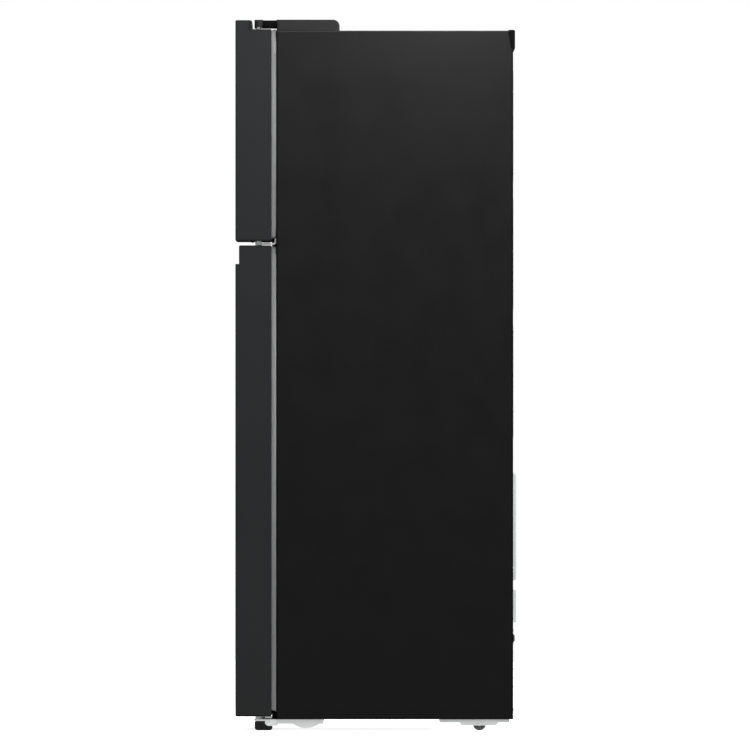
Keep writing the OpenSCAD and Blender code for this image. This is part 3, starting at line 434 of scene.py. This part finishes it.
def screw(bm, centre, axis, r=0.0042):
    """A pan head with a cross recess."""
    def cross(a, radius, h):
        return 1 + 0.42 * math.cos(4 * a) if radius < r * 0.5 else 1.0

    h = r * 0.62
    profile = [
        (r, 0), (r, h * 0.35), (r * 0.86, h * 0.8), (r * 0.62, h), (r * 0.40, h * 0.98), (r * 0.30, h * 0.35),
        (r * 0.05, h * 0.25),
    ]
    lathe(bm, profile, centre, axis, 32, cross)


def finish_cad_nodes():
    """Every CAD node keeps its shape and gets its slot's material and a small round on its edges."""
    for name, node in NODES.items():
        mesh = node.data
        mesh.materials.clear()
        mesh.materials.append(MATERIALS[SLOT_OF[name]])
        weld = node.modifiers.new("weld", "WELD")
        weld.merge_threshold = 1e-5
        flat = node.modifiers.new("flat_faces", "DECIMATE")
        flat.decimate_type, flat.angle_limit = "DISSOLVE", math.radians(0.5)
        edge = node.modifiers.new("edges", "BEVEL")
        edge.width, edge.segments = EDGE_WIDTHS.get(name, EDGE_WIDTH) * MM, 2
        edge.limit_method, edge.angle_limit = "ANGLE", math.radians(32)
        edge.use_clamp_overlap = True
        mesh.polygons.foreach_set("use_smooth", [True] * len(mesh.polygons))
        node.modifiers.new("triangles", "TRIANGULATE").min_vertices = 5
        even = node.modifiers.new("even_normals", "WEIGHTED_NORMAL")
        even.weight, even.keep_sharp = 80, False


# ---------------------------------------------------------------- doors

def door_gasket(name, node, body):
    """Magnetic seal: a foot in the door, a bellows with a ridge outside, and the magnet strip in front."""
    lo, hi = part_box(node)
    depth = hi.y - lo.y
    profile = [
        (5.6, 0.00), (5.0, 0.05), (3.6, 0.20), (1.2, 0.42), (0.3, 0.50), (0.0, 0.55), (0.1, 0.60),
        (0.3, 0.70), (0.8, 0.86), (1.4, 0.95), (2.4, 1.00), (12.0, 1.00), (12.8, 0.93), (12.8, 0.66),
        (11.0, 0.56), (14.0, 0.44), (15.6, 0.34), (16.0, 0.10), (15.2, 0.00),
    ]
    bm = bmesh.new()
    loops = []
    for s, d in profile:
        inset = s * MM
        r = max(4 * MM - inset, 0.8 * MM)
        end = inset * (0.45 if inset < 6 * MM else 1)
        points = rounded_rect(lo.x + inset, hi.x - inset, lo.z + end, hi.z - end, r, 4)
        loops.append([Vector((x, lo.y + d * depth, z)) for x, z in points])
    loft(bm, loops, ring=True)
    piece(name, bm, body, "gasket", [node], sharp=50)


def inner_door(name, node, body, baskets, dyke_half, dyke_z):
    """Thermoformed inner door: a flat flange, a drafted dyke all round, and rests under its baskets."""
    lo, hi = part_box(node)
    top = hi.y
    z0, z1 = dyke_z
    d = dyke_half
    levels = [
        (hi.x, lo.z, hi.z, 1, lo.y), (hi.x, lo.z, hi.z, 1, lo.y + 1.5 * MM), (d, z0, z1, 14, lo.y + 1.5 * MM),
        (d - 1.2 * MM, z0 + 1.2 * MM, z1 - 1.2 * MM, 13, lo.y + 8 * MM),
        (d - 2.2 * MM, z0 + 2.2 * MM, z1 - 2.2 * MM, 12, top - 4 * MM),
        (d - 3.4 * MM, z0 + 3.4 * MM, z1 - 3.4 * MM, 11, top - 1 * MM),
        (d - 5.0 * MM, z0 + 5.0 * MM, z1 - 5.0 * MM, 10, top),
        (d - 8.0 * MM, z0 + 8.0 * MM, z1 - 8.0 * MM, 9, top - 0.4 * MM),
        (d - 9.6 * MM, z0 + 9.6 * MM, z1 - 9.6 * MM, 8, top - 3 * MM),
        (d - 10.8 * MM, z0 + 11.0 * MM, z1 - 11.0 * MM, 7, lo.y + 5 * MM),
        (d - 13.0 * MM, z0 + 13.0 * MM, z1 - 13.0 * MM, 6, lo.y + 1.9 * MM),
        (d - 40 * MM, z0 + 40 * MM, z1 - 40 * MM, 6, lo.y + 1.9 * MM),
        (d - 42 * MM, z0 + 42 * MM, z1 - 42 * MM, 5, lo.y + 1.0 * MM),
    ]
    bm = bmesh.new()
    loops = [
        [Vector((x, y, z)) for x, z in rounded_rect(-half, half, a, b, r * MM)]
        for half, a, b, r, y in levels
    ]
    loft(bm, loops, cap_first=True, cap_last=True)
    inner = d - 11 * MM
    for basket in baskets:
        for x in both_sides(inner, inner - 9 * MM):
            block(bm, x, (lo.y + 6 * MM, top - 8 * MM), (basket - 7 * MM, basket - 1 * MM), 1.5 * MM)
    piece(name, bm, body, "liner_plastic", [node], sharp=40)


def tub(bm, x, y, z, wall, r, draft=3 * MM, rim=1.6 * MM):
    """An open bin with drafted walls, a round floor edge and a thicker rim."""
    (x0, x1), (y0, y1), (z0, z1) = x, y, z
    levels = [
        (draft + 3 * MM, z0), (draft + 0.8 * MM, z0 + 0.9 * MM), (draft, z0 + 3 * MM),
        (rim, z1 - 8 * MM), (rim, z1 - 5 * MM), (0, z1 - 4.2 * MM), (0, z1 - 0.6 * MM), (0.6 * MM, z1),
        (wall + rim - 0.6 * MM, z1), (wall + rim, z1 - 0.6 * MM), (wall + rim, z1 - 8 * MM),
        (wall + draft, z0 + wall + 3 * MM), (wall + draft + 1 * MM, z0 + wall + 0.8 * MM),
        (wall + draft + 4 * MM, z0 + wall),
    ]
    loops = [
        [Vector((px, py, h)) for px, py in rounded_rect(x0 + i, x1 - i, y0 + i, y1 - i, max(r - i, 2 * MM))]
        for i, h in levels
    ]
    loft(bm, loops, cap_first=True, cap_last=True)


def door_basket(name, body, x, y, z, replaces=()):
    """Clear bin with a pale rail round its upper edge, as it hangs in the inner door."""
    corner = 12 * MM
    bm = bmesh.new()
    tub(bm, x, y, z, 2 * MM, corner)
    piece(name, bm, body, "clear_plastic", replaces)
    z1 = z[1] + 1.2 * MM
    rail = (
        (0.4, -16), (-0.2, -15.6), (-0.2, -1.0), (0.8, 0), (4.2, 0), (5.2, -1.0), (5.2, -6), (4.4, -6),
    )
    loops = []
    for inset, h in rail:
        i = inset * MM
        points = rounded_rect(x[0] + i, x[1] - i, y[0] + i, y[1] - i, corner - i)
        loops.append([Vector((px, py, z1 + h * MM)) for px, py in points])
    bm = bmesh.new()
    loft(bm, loops, ring=True)
    for k in range(3):
        h = z[0] + (z[1] - z[0]) * (0.22 + 0.16 * k)
        rib_x, rib_y = (x[0] + 30 * MM, x[1] - 30 * MM), (y[1] - 2.6 * MM, y[1] - 0.9 * MM)
        block(bm, rib_x, rib_y, (h, h + 1.6 * MM), 0.6 * MM)
    piece(name + "_rail", bm, body, "pale_plastic")


def make_doors():
    dyke_gap = 11.5 * MM  # from a basket's side to the outside of the dyke beside it
    for door in ("freezer", "fridge"):
        door_gasket(f"{door}_gasket", f"{door}_door_gasket", f"{door}_door")
    # freezer door
    lo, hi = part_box("freezer_basket_lower")
    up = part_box("freezer_basket_upper")
    dyke = hi.x + dyke_gap
    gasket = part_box("freezer_door_gasket")
    inner_door("freezer_inner_door", "freezer_door_liner", "freezer_door", (lo.z, up[0].z), dyke,
               (gasket[0].z + 25.5 * MM, gasket[1].z - 54.8 * MM))
    for name, (a, b) in (("freezer_bin_lower", (lo, hi)), ("freezer_bin_upper", up)):
        node = name.replace("bin", "basket")
        door_basket(name, "freezer_door", (a.x, b.x), (a.y, b.y), (a.z, b.z), [node])
    # fridge door
    lo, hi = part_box("fridge_baskets")
    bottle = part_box("bottle_basket")
    height = 75 * MM
    dyke = hi.x + dyke_gap
    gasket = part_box("fridge_door_gasket")
    floors = (lo.z, hi.z - height, bottle[0].z)
    inner_door("fridge_inner_door", "fridge_door_liner", "fridge_door", floors, dyke,
               (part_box("crisper_drawer")[0].z + 7 * MM, gasket[1].z - 32 * MM))
    door_basket("fridge_bin_lower", "fridge_door", (lo.x, hi.x), (lo.y, hi.y), (lo.z, lo.z + height),
                ["fridge_baskets"])
    door_basket("fridge_bin_upper", "fridge_door", (lo.x, hi.x), (lo.y, hi.y), (hi.z - height, hi.z))
    a, b = bottle
    door_basket("bottle_bin", "fridge_door", (a.x, b.x), (a.y, b.y), (a.z, b.z), ["bottle_basket"])


# ---------------------------------------------------------------- inside

LINER_GAP = 1.2 * MM  # from a liner's rear face to the back of its cavity
LINER_ROUND = 9 * MM  # round of a cavity's inner edges


def cavity(outline, half_x, flange):
    """Inner liner: the cavity's own surface with round inner edges, and a flange at its front."""
    bm = bmesh.new()
    left = [bm.verts.new((-half_x, y, z)) for y, z in outline]
    right = [bm.verts.new((half_x, y, z)) for y, z in outline]
    bm.faces.new(left)
    bm.faces.new(list(reversed(right)))
    for i in range(len(outline) - 1):
        bm.faces.new((left[i], left[i + 1], right[i + 1], right[i]))
    inner = [e for e in bm.edges if len(e.link_faces) == 2]
    bmesh.ops.bevel(bm, geom=inner, offset=LINER_ROUND, segments=5, affect="EDGES", profile=0.5)
    rim = [e for e in bm.edges if e.is_boundary]
    made = bmesh.ops.extrude_edge_only(bm, edges=rim)["geom"]
    z_mid = (outline[0][1] + outline[-1][1]) / 2
    for v in (g for g in made if isinstance(g, bmesh.types.BMVert)):
        v.co.x = math.copysign(flange[0], v.co.x)
        v.co.z = flange[2] if v.co.z > z_mid else flange[1]
    bmesh.ops.remove_doubles(bm, verts=bm.verts, dist=1e-5)
    for face in list(bm.faces):
        if face.calc_area() < 1e-9:
            bm.faces.remove(face)
    return bm


def make_liners():
    """Both liners, with the ribs, the switch's boss and the runners that are moulded into them."""
    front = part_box("outer_shell")[0].y
    sheet = (1.1 * MM, 1)  # thickness, and outwards from the surface
    rib_top, rib_bottom, rib_edge = 0.3 * MM, 9 * MM, 1.5 * MM
    lo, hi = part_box("freezer_liner")
    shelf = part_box("freezer_shelf")
    half = shelf[1].x + 1.5 * MM
    z0, z1 = lo.z + 2 * MM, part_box("freezer_air_cover")[1].z + 0.5 * MM
    back = hi.y - LINER_GAP
    outline = [(front, z0), (back, z0), (back, z1), (front, z1)]
    bm = cavity(outline, half, (hi.x, lo.z, hi.z))
    rib_z = shelf[0].z
    for x in both_sides(half, half - 5 * MM):
        for y in (-0.12, 0.12):
            block(bm, x, (y, y + 0.06), (rib_z - rib_bottom, rib_z - rib_top), rib_edge)
    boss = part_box("freezer_switch")
    cx, cz = (boss[0].x + boss[1].x) / 2, (boss[0].z + boss[1].z) / 2
    boss_x, boss_y = (cx - 12 * MM, cx + 12 * MM), (boss[1].y - 18 * MM, boss[1].y + 22 * MM)
    block(bm, boss_x, boss_y, (cz - 11 * MM, z1 - 1 * MM), 2 * MM)
    piece("freezer_cavity", bm, "cabinet", "liner_plastic", ["freezer_liner"], solid=sheet)

    lo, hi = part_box("fridge_liner")
    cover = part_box("crisper_cover")
    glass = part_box("glass_shelves")
    half = cover[1].x + 2 * MM
    z1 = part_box("control_housing")[1].z + 0.2 * MM
    z0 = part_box("crisper_drawer")[0].z - 1 * MM
    back = hi.y - LINER_GAP
    hump_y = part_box("crisper_drawer")[1].y + 6 * MM
    hump_z = cover[0].z - 1 * MM
    outline = [(front, z0), (hump_y, z0), (hump_y, hump_z), (back, hump_z), (back, z1), (front, z1)]
    bm = cavity(outline, half, (hi.x, lo.z, hi.z))
    for level in shelf_levels():
        for x in both_sides(half, half - 9 * MM):
            y0, y1 = glass[0].y + 10 * MM, glass[1].y - 16 * MM
            block(bm, x, (y0, y1), (level - rib_bottom, level - rib_top), rib_edge)
    lo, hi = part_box("crisper_drawer")
    for x in both_sides(half, hi.x + 2 * MM):
        block(bm, x, (lo.y + 25 * MM, hump_y - 8 * MM), (hi.z - 34 * MM, hi.z - 22 * MM), 2 * MM)
    piece("fridge_cavity", bm, "cabinet", "liner_plastic", ["fridge_liner"], solid=sheet)


def shelf_levels():
    """The undersides of the three glass shelves."""
    lo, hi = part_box("glass_shelves")
    top = hi.z - 4 * MM
    return [lo.z, (lo.z + top) / 2, top]


def drawer(name, node, body, lip):
    """Clear drawer with a drafted bin, a thick front and a pull lip along its top."""
    lo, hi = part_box(node)
    y0 = lo.y + lip
    bm = bmesh.new()
    tub(bm, (lo.x, hi.x), (y0, hi.y), (lo.z, hi.z), 2.5 * MM, 14 * MM, draft=4 * MM)
    for k in range(5):
        x = lo.x + (hi.x - lo.x) * (k + 0.5) / 5
        rib_y, rib_z = (y0 + 3 * MM, hi.y - 6 * MM), (lo.z + 0.2 * MM, lo.z + 3.4 * MM)
        block(bm, (x - 1 * MM, x + 1 * MM), rib_y, rib_z, 0.6 * MM)
    piece(name, bm, body, "clear_plastic", [node])
    half = (hi.x - lo.x) / 2 * 0.45
    mid = (lo.x + hi.x) / 2
    top = hi.z - 7.5 * MM
    bm = bmesh.new()
    profile = [
        (0.5, 0), (-5.0, 0), (-6.6, -1.2), (-6.9, -3.4), (-6.2, -18.4), (-5.2, -18.4), (-5.2, -4.2),
        (-4.2, -2.6), (0.5, -2.6),
    ]
    loops = []
    for k in range(13):
        t = k / 12
        x = mid + half * (2 * t - 1)
        sag = 1 - 0.55 * (2 * t - 1) ** 8
        points = [(y0 + (p if p > 0 else p * sag) * MM, top + q * sag * MM) for p, q in profile]
        loops.append([Vector((x, y, z)) for y, z in points])
    loft(bm, loops, cap_first=True, cap_last=True)
    strip_y, strip_z = (y0 - 0.6 * MM, y0 + 1.0 * MM), (hi.z - 7 * MM, hi.z + 0.2 * MM)
    block(bm, (lo.x + 14 * MM, hi.x - 14 * MM), strip_y, strip_z, 0.6 * MM)
    piece(name + "_pull", bm, body, "pale_plastic")


def make_lens():
    """Lamp lens with fine prisms along its length."""
    lo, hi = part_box("lamp_lens")
    count = 46
    step = (hi.x - lo.x) / (2 * count)
    outline = [(lo.x + step * k, lo.z + (1.0 * MM if k % 2 else 0.0)) for k in range(2 * count + 1)]
    outline += [(hi.x, hi.z), (lo.x, hi.z)]
    bm = bmesh.new()
    loops = [[Vector((x, y, z)) for x, z in outline] for y in (lo.y, hi.y)]
    loft(bm, loops, cap_first=True, cap_last=True)
    piece("lamp_prisms", bm, "cabinet", "lens_plastic", ["lamp_lens"], sharp=20)


def make_dial():
    """Fluted dial with a pointer, and a scale of ticks that grow round it."""
    lo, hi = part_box("temperature_dial")
    cx, cz = (lo.x + hi.x) / 2, (lo.z + hi.z) / 2
    r = (hi.x - lo.x) / 2
    face, back = lo.y + 4 * MM, lo.y + 12.5 * MM

    def flutes(a, radius, h):
        return 1 - 0.035 * (0.5 + 0.5 * math.cos(28 * a)) if radius > r * 0.8 else 1.0

    depth = back - face
    bm = bmesh.new()
    profile = [
        (r * 0.2, 20 * MM), (r * 0.2, depth), (r * 0.96, depth), (r, depth - 1 * MM), (r, 2 * MM),
        (r * 0.94, 0.5 * MM), (r * 0.84, 0), (r * 0.70, 0.7 * MM), (r * 0.1, 0.7 * MM),
    ]
    lathe(bm, profile, (cx, face, cz), "y", 168, flutes)
    pointer = r * 0.86
    pointer_x, pointer_z = (cx - 2.5 * MM, cx + 2.5 * MM), (cz - pointer, cz + pointer)
    block(bm, pointer_x, (lo.y, face + 2 * MM), pointer_z, 1.6 * MM, 3)
    piece("dial_knob", bm, "temperature_dial", "grey_plastic", ["temperature_dial"])
    bm = bmesh.new()
    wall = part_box("control_housing")[0].y
    count = 9
    for k in range(count):
        a = math.radians(225 - 270 * k / (count - 1))
        size = (0.6 + 0.12 * k) * MM
        x, z = cx + math.cos(a) * r * 1.14, cz + math.sin(a) * r * 1.14
        lathe(bm, [(size, -0.2 * MM), (size, 0.25 * MM), (size * 0.7, 0.4 * MM)], (x, wall, z), "-y", 12)
    piece("dial_scale", bm, "cabinet", "grey_plastic")


def make_inside():
    make_liners()
    drawer("crisper_bin", "crisper_drawer", "crisper_drawer", 7 * MM)
    drawer("chiller_bin", "chiller_drawer", "chiller_drawer", 7 * MM)
    lo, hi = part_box("ice_bin")
    bm = bmesh.new()
    tub(bm, (lo.x, hi.x), (lo.y + 4 * MM, hi.y), (lo.z, hi.z), 2 * MM, 8 * MM)
    block(bm, (lo.x + 30 * MM, hi.x - 30 * MM), (lo.y, lo.y + 6 * MM), (hi.z - 14 * MM, hi.z), 2 * MM, 3)
    piece("ice_box", bm, "ice_bin", "clear_plastic", ["ice_bin"])
    make_lens()
    make_dial()
    # louvre blades in the air duct, and a raised frame on the freezer's air cover
    duct_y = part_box("fridge_air_duct")[0].y
    bm = bmesh.new()
    for level in shelf_levels():
        for cx in (-48 * MM, 48 * MM):
            for k in range(3):
                z = level + (61.5 + 4 * k) * MM
                blade_x, blade_y = (cx - 25.5 * MM, cx + 25.5 * MM), (duct_y + 0.3 * MM, duct_y + 3.2 * MM)
                block(bm, blade_x, blade_y, (z, z + 1.1 * MM), 0.4 * MM)
    piece("duct_louvres", bm, "cabinet", "liner_plastic")
    lo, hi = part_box("freezer_air_cover")
    face = hi.y - 3 * MM
    bm = bmesh.new()
    loops = []
    for inset, out in ((22, 0.3), (23, -1.4), (24.5, -2.2), (27.5, -2.2), (29, -1.4), (30, 0.3)):
        i = inset * MM
        points = rounded_rect(lo.x + i, hi.x - i, lo.z + i + 30 * MM, hi.z - i, 26 * MM - i * 0.4, 6)
        loops.append([Vector((x, face + out * MM, z)) for x, z in points])
    loft(bm, loops, ring=True)
    piece("air_cover_frame", bm, "cabinet", "liner_plastic")


# ---------------------------------------------------------------- back, feet and hinges

def make_back():
    """Embossed zinc back, its screws, and details on the covers."""
    lo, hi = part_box("back_panel")
    y = hi.y
    bm = bmesh.new()
    columns, rows = 2, 4
    gap = 34 * MM
    width = (hi.x - lo.x - gap * (columns + 1)) / columns
    height = (hi.z - lo.z - 0.10 - gap * (rows + 1)) / rows
    emboss = ((0, -0.2), (0, 0), (3, 1.3), (6, 1.6), (14, 1.6), (17, 1.3), (20, 0.2), (22, 0.1))
    sheet_x, sheet_z = (lo.x, hi.x), (lo.z, hi.z)
    loops = [
        [Vector((px, py, pz)) for px, pz in rounded_rect(*sheet_x, *sheet_z, 1 * MM, 2)]
        for py in (lo.y, y)
    ]
    loft(bm, loops, cap_first=True, cap_last=True)
    for i in range(columns):
        for j in range(rows):
            x0 = lo.x + gap + i * (width + gap)
            z0 = lo.z + 0.09 + gap + j * (height + gap)
            if i == 1 and j == 0:  # the control board's cover is in this panel's place
                continue
            loops = []
            for inset, out in emboss:
                k = inset * MM
                points = rounded_rect(x0 + k, x0 + width - k, z0 + k, z0 + height - k, 26 * MM - k * 0.6, 6)
                loops.append([Vector((px, y + out * MM, pz)) for px, pz in points])
            loft(bm, loops, cap_last=True)
    piece("back_sheet", bm, "cabinet", "zinc_sheet", ["back_panel"])
    bm = bmesh.new()
    edge = 9 * MM
    count = 7
    for k in range(count):
        z = lo.z + 0.12 + (hi.z - lo.z - 0.22) * k / (count - 1)
        for x in (lo.x + edge, hi.x - edge):
            screw(bm, (x, y, z), "y")
    cover_lo, cover_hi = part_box("machine_cover")
    for x in (-0.25, -0.09, 0.09, 0.25):
        screw(bm, (x, y, cover_lo.z + 14 * MM), "y")
    for x in (-0.255, 0.255):
        screw(bm, (x, y, cover_hi.z - 90 * MM), "y")
    board_lo, board_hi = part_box("control_board_cover")
    for x in (board_lo.x + 10 * MM, board_hi.x - 10 * MM):
        for z in (board_lo.z + 12 * MM, board_hi.z - 24 * MM):
            screw(bm, (x, y + 4.6 * MM, z), "y", 0.0036)
    piece("back_screws", bm, "cabinet", "bright_steel")
    make_board_cover(board_lo, board_hi)
    make_vent_hoods(y)


def make_vent_hoods(y):
    """A small hood over each vent of the compartment's cover, left out round the cord's gland."""
    pitch_x, pitch_z, first_z = 32, 20, 101  # mm
    gland_x, gland_z, clear_of = 0.2, 0.211, 0.03
    half, sheet = 11 * MM, 0.8 * MM
    bm = bmesh.new()
    for row in range(6):
        for col in range(-6, 7):
            x = col * pitch_x * MM
            z = first_z * MM + row * pitch_z * MM
            if abs(x - gland_x) < clear_of and abs(z - gland_z) < clear_of:
                continue
            loops = []
            for k in range(5):
                a = math.pi / 2 * k / 4
                out, rise = y + 2.6 * MM * math.sin(a), 4.5 * MM * (1 - math.cos(a)) * -1
                z_here = z + 1 * MM + rise
                corners = ((x - half, out), (x + half, out), (x + half, out - sheet), (x - half, out - sheet))
                loops.append([Vector((px, py, z_here)) for px, py in corners])
            loft(bm, loops, cap_first=True, cap_last=True)
    piece("vent_hoods", bm, "cabinet", "pale_plastic")


def make_board_cover(lo, hi):
    """Shallow cover with drafted sides, and a row of ribs on its sunken panel."""
    face, depth = hi.y, 8 * MM
    # inset at the sides, height above the foot, inset at the bottom (1.4 times that at the top), corner
    rings = (
        (0, 0, 0.4, 5), (0.8, 5.0, 1.5, 6), (2.2, 7.2, 3.5, 6), (4.5, 8.0, 6, 6), (24, 8.0, 24, 5),
        (25, 7.4, 25, 5), (26, 6.6, 26, 4),
    )
    bm = bmesh.new()
    loops = []
    for inset, out, inset_z, r in rings:
        i, k = inset * MM, inset_z * MM
        points = rounded_rect(lo.x + i, hi.x - i, lo.z + k, hi.z - k * 1.4, r * MM)
        loops.append([Vector((px, face - depth + out * MM, pz)) for px, pz in points])
    loft(bm, loops, cap_first=True, cap_last=True)
    rib_x, rib_y = (lo.x + 0.045, hi.x - 0.045), (face - 1.8 * MM, face - 0.3 * MM)
    for k in range(12):
        z = lo.z + 0.055 + k * 0.011
        block(bm, rib_x, rib_y, (z, z + 4.5 * MM), 0.8 * MM)
    piece("board_cover", bm, "cabinet", SLOT_OF["control_board_cover"], ["control_board_cover"])


def make_wrap():
    """Cabinet sheet with bent edges: top and sides, front flanges, and folds over the back's edges; dark strips
    along its edges paint the shade of the bends.
    """
    lo, hi = (v.copy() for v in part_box("outer_shell"))
    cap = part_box("rear_top_cap")
    bend, fold = 2.6 * MM, 0.6 * MM
    # dark strips along the front and rear edges of the sides and the top front edge: painted shade of the bent
    # edges
    shade_strip_width, shade_strip_round = 1.6 * MM, 0.6 * MM
    front_shade_strip = (lo.y, lo.y + 3.4 * MM)
    back = hi.y + fold
    bm = bmesh.new()
    for x in both_sides(hi.x, hi.x - shade_strip_width):
        block(bm, x, front_shade_strip, (lo.z, hi.z), shade_strip_round)
        block(bm, x, (hi.y - 3.0 * MM, back), (lo.z, cap[0].z), shade_strip_round)
    block(bm, (lo.x, hi.x), front_shade_strip, (hi.z - shade_strip_width, hi.z), shade_strip_round)
    piece("cabinet_edge_shade_strips", bm, "cabinet", "matte_plastic")
    lo.x, hi.x = lo.x + 0.25 * MM, hi.x - 0.25 * MM
    outline = [
        (lo.y, lo.z), (back, lo.z), (back, cap[0].z), (hi.y - 1.5 * MM, cap[0].z),
        (hi.y - 5 * MM, cap[0].z + 4.5 * MM), (cap[0].y, hi.z), (lo.y, hi.z),
    ]
    bm = bmesh.new()
    loops = [[bm.verts.new((x, y, z)) for y, z in outline] for x in (lo.x, hi.x)]
    for loop in loops:
        bm.faces.new(loop)
    left, right = loops
    count = len(outline)
    after = [(i + 1) % count for i in range(count)]
    strips = [bm.faces.new((left[i], left[j], right[j], right[i])) for i, j in enumerate(after)]
    bmesh.ops.recalc_face_normals(bm, faces=bm.faces)
    bottom, rear, front = strips[0], strips[1], strips[6]
    bends = [bm.edges.get((loop[a], loop[after[a]])) for loop in loops for a in (1, 5, 6)]
    bends.append(bm.edges.get((left[6], right[6])))
    open_faces = [bottom, rear, front] + strips[2:5]
    marks = [(f.normal.copy(), f.calc_center_median().copy()) for f in open_faces]
    bmesh.ops.bevel(bm, geom=bends, offset=bend, segments=5, affect="EDGES", profile=0.5)
    gone = []
    for normal, centre in marks:
        level = [f for f in bm.faces if f.normal.dot(normal) > 0.999]
        level = [f for f in level if abs((f.calc_center_median() - centre).dot(normal)) < 1e-5]
        gone.append(max(level, key=lambda f: f.calc_area()))
    bmesh.ops.delete(bm, geom=list(set(gone)), context="FACES")
    flange = (hi.x - 18 * MM, hi.z - 18 * MM)
    for y, x_in, z_in in ((lo.y, flange[0], flange[1]), (back, hi.x - 11 * MM, None)):
        rim = [e for e in bm.edges if e.is_boundary and all(abs(v.co.y - y) < 1e-5 for v in e.verts)
               and not all(abs(v.co.z - lo.z) < 1e-5 for v in e.verts)
               and (z_in is not None or abs(e.verts[0].co.x - e.verts[1].co.x) < 1e-5)]
        made = bmesh.ops.extrude_edge_only(bm, edges=rim)["geom"]
        for v in (g for g in made if isinstance(g, bmesh.types.BMVert)):
            v.co.x = math.copysign(min(abs(v.co.x), x_in), v.co.x)
            if z_in is not None:
                v.co.z = min(v.co.z, z_in)
    obj = piece("cabinet_wrap", bm, "cabinet", "cabinet_paint", ["outer_shell"])
    mesh = obj.data
    side = max(mesh.polygons, key=lambda f: f.area * (f.center.x > 0))
    if side.normal.x < 0:
        mesh.flip_normals()
    thick = obj.modifiers.new("thickness", "SOLIDIFY")
    thick.thickness, thick.offset = fold, -1
    even = obj.modifiers.new("even_normals", "WEIGHTED_NORMAL")
    even.weight, even.keep_sharp = 80, True


def make_feet():
    """Levelling feet: a ribbed disc and a threaded stud."""
    for side in ("left", "right"):
        node = f"levelling_foot_{side}"
        lo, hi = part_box(node)
        centre = ((lo.x + hi.x) / 2, (lo.y + hi.y) / 2, 0)
        r = (hi.x - lo.x) / 2
        top = 21.5 * MM

        def ribs(a, radius, h):
            if radius > r * 0.96 and 5 * MM < h < 19 * MM:
                return 1 - 0.03 * (0.5 + 0.5 * math.cos(36 * a)) ** 3
            return 1.0

        bm = bmesh.new()
        profile = [
            (r * 0.70, 0), (r * 0.78, 0.3 * MM), (r * 0.92, 2.2 * MM), (r * 0.99, 5 * MM), (r, 7 * MM),
            (r, 17 * MM), (r * 0.98, 19.5 * MM), (r * 0.9, top - 0.4 * MM), (r * 0.5, top),
        ]
        lathe(bm, profile, centre, "z", 144, ribs)
        piece(f"foot_disc_{side}", bm, node, "dark_plastic", [node])
        bm = bmesh.new()
        stud = 4 * MM
        pitch = 1.25 * MM
        thread = [(stud * 0.6, top - 1 * MM)]
        turns = 7
        for k in range(turns):
            z = top + 0.2 * MM + k * pitch
            thread += [(stud * 0.86, z), (stud, z + pitch * 0.45), (stud, z + pitch * 0.6)]
        thread += [(stud * 0.86, top + 0.2 * MM + turns * pitch), (stud * 0.5, hi.z)]
        lathe(bm, thread, centre, "z", 32)
        piece(f"foot_stud_{side}", bm, node, "bright_steel")


def make_hinge_details():
    """Nylon washers round the hinge pins, and a dark strip that paints the shade in the recessed neck of the top
    hinge's cover.
    """
    pin = frame["joints"][0]["pos_m"]
    x, y = pin[0], pin[1]
    bottom, top = (v.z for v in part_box("fridge_door_caps"))
    bm = bmesh.new()
    r = 7 * MM
    washer = [
        (5 * MM, 0), (r, 0), (r + 0.3 * MM, 0.3 * MM), (r + 0.3 * MM, 1.0 * MM), (r, 1.3 * MM),
        (5 * MM, 1.3 * MM),
    ]
    lathe(bm, washer, (x, y, top + 0.1 * MM), "z", 48)
    r = 9.5 * MM
    lathe(bm, [(7.6 * MM, 0), (r, 0), (r + 1 * MM, 0.6 * MM), (r, 1.6 * MM), (7.6 * MM, 2.2 * MM)],
          (x, y, bottom - 6.6 * MM), "z", 48)
    piece("hinge_washers", bm, "cabinet", "pale_plastic")
    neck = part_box("top_hinge_cover")
    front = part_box("outer_shell")[0].y
    bm = bmesh.new()
    # a dark strip in the cover's neck: painted shade of its recess
    neck_shade_y, neck_shade_z = (y + 9 * MM, front + 1.5 * MM), (neck[0].z + 4.7 * MM, neck[1].z - 1.6 * MM)
    block(bm, (x + 5.2 * MM, x + 6.6 * MM), neck_shade_y, neck_shade_z, 0.5 * MM)
    piece("hinge_neck_shade_strip", bm, "cabinet", "matte_plastic")


def make_compressor_details():
    """Weld seam and suction tube of the compressor."""
    lo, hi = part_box("compressor")
    cx, cy = -130 * MM, (lo.y + hi.y) / 2
    r = 74 * MM
    seam = lo.z + 78 * MM
    profile = [
        (r - 2 * MM, -4 * MM), (r + 2.4 * MM, -4 * MM), (r + 3.0 * MM, -3 * MM), (r + 3.0 * MM, 3 * MM),
        (r + 2.4 * MM, 4 * MM), (r - 2 * MM, 4 * MM),
    ]
    bm = bmesh.new()
    lathe(bm, profile, (cx, cy, seam), "z", 72)
    piece("compressor_seam", bm, "cabinet", "black_steel")
    x, z = cx - 30 * MM, seam + 30 * MM
    route = [(x, cy + 62 * MM, z), (x, cy + 74 * MM, z), (x, cy + 74 * MM, 0.235)]
    tube("suction_tube", route, 3.2 * MM, "cabinet", "copper", 6 * MM)


# ---------------------------------------------------------------- build

MATERIALS = make_materials()
make_camera()
make_light()
make_floor()
finish_cad_nodes()
make_doors()
make_inside()
make_back()
make_wrap()
make_feet()
make_hinge_details()
make_compressor_details()
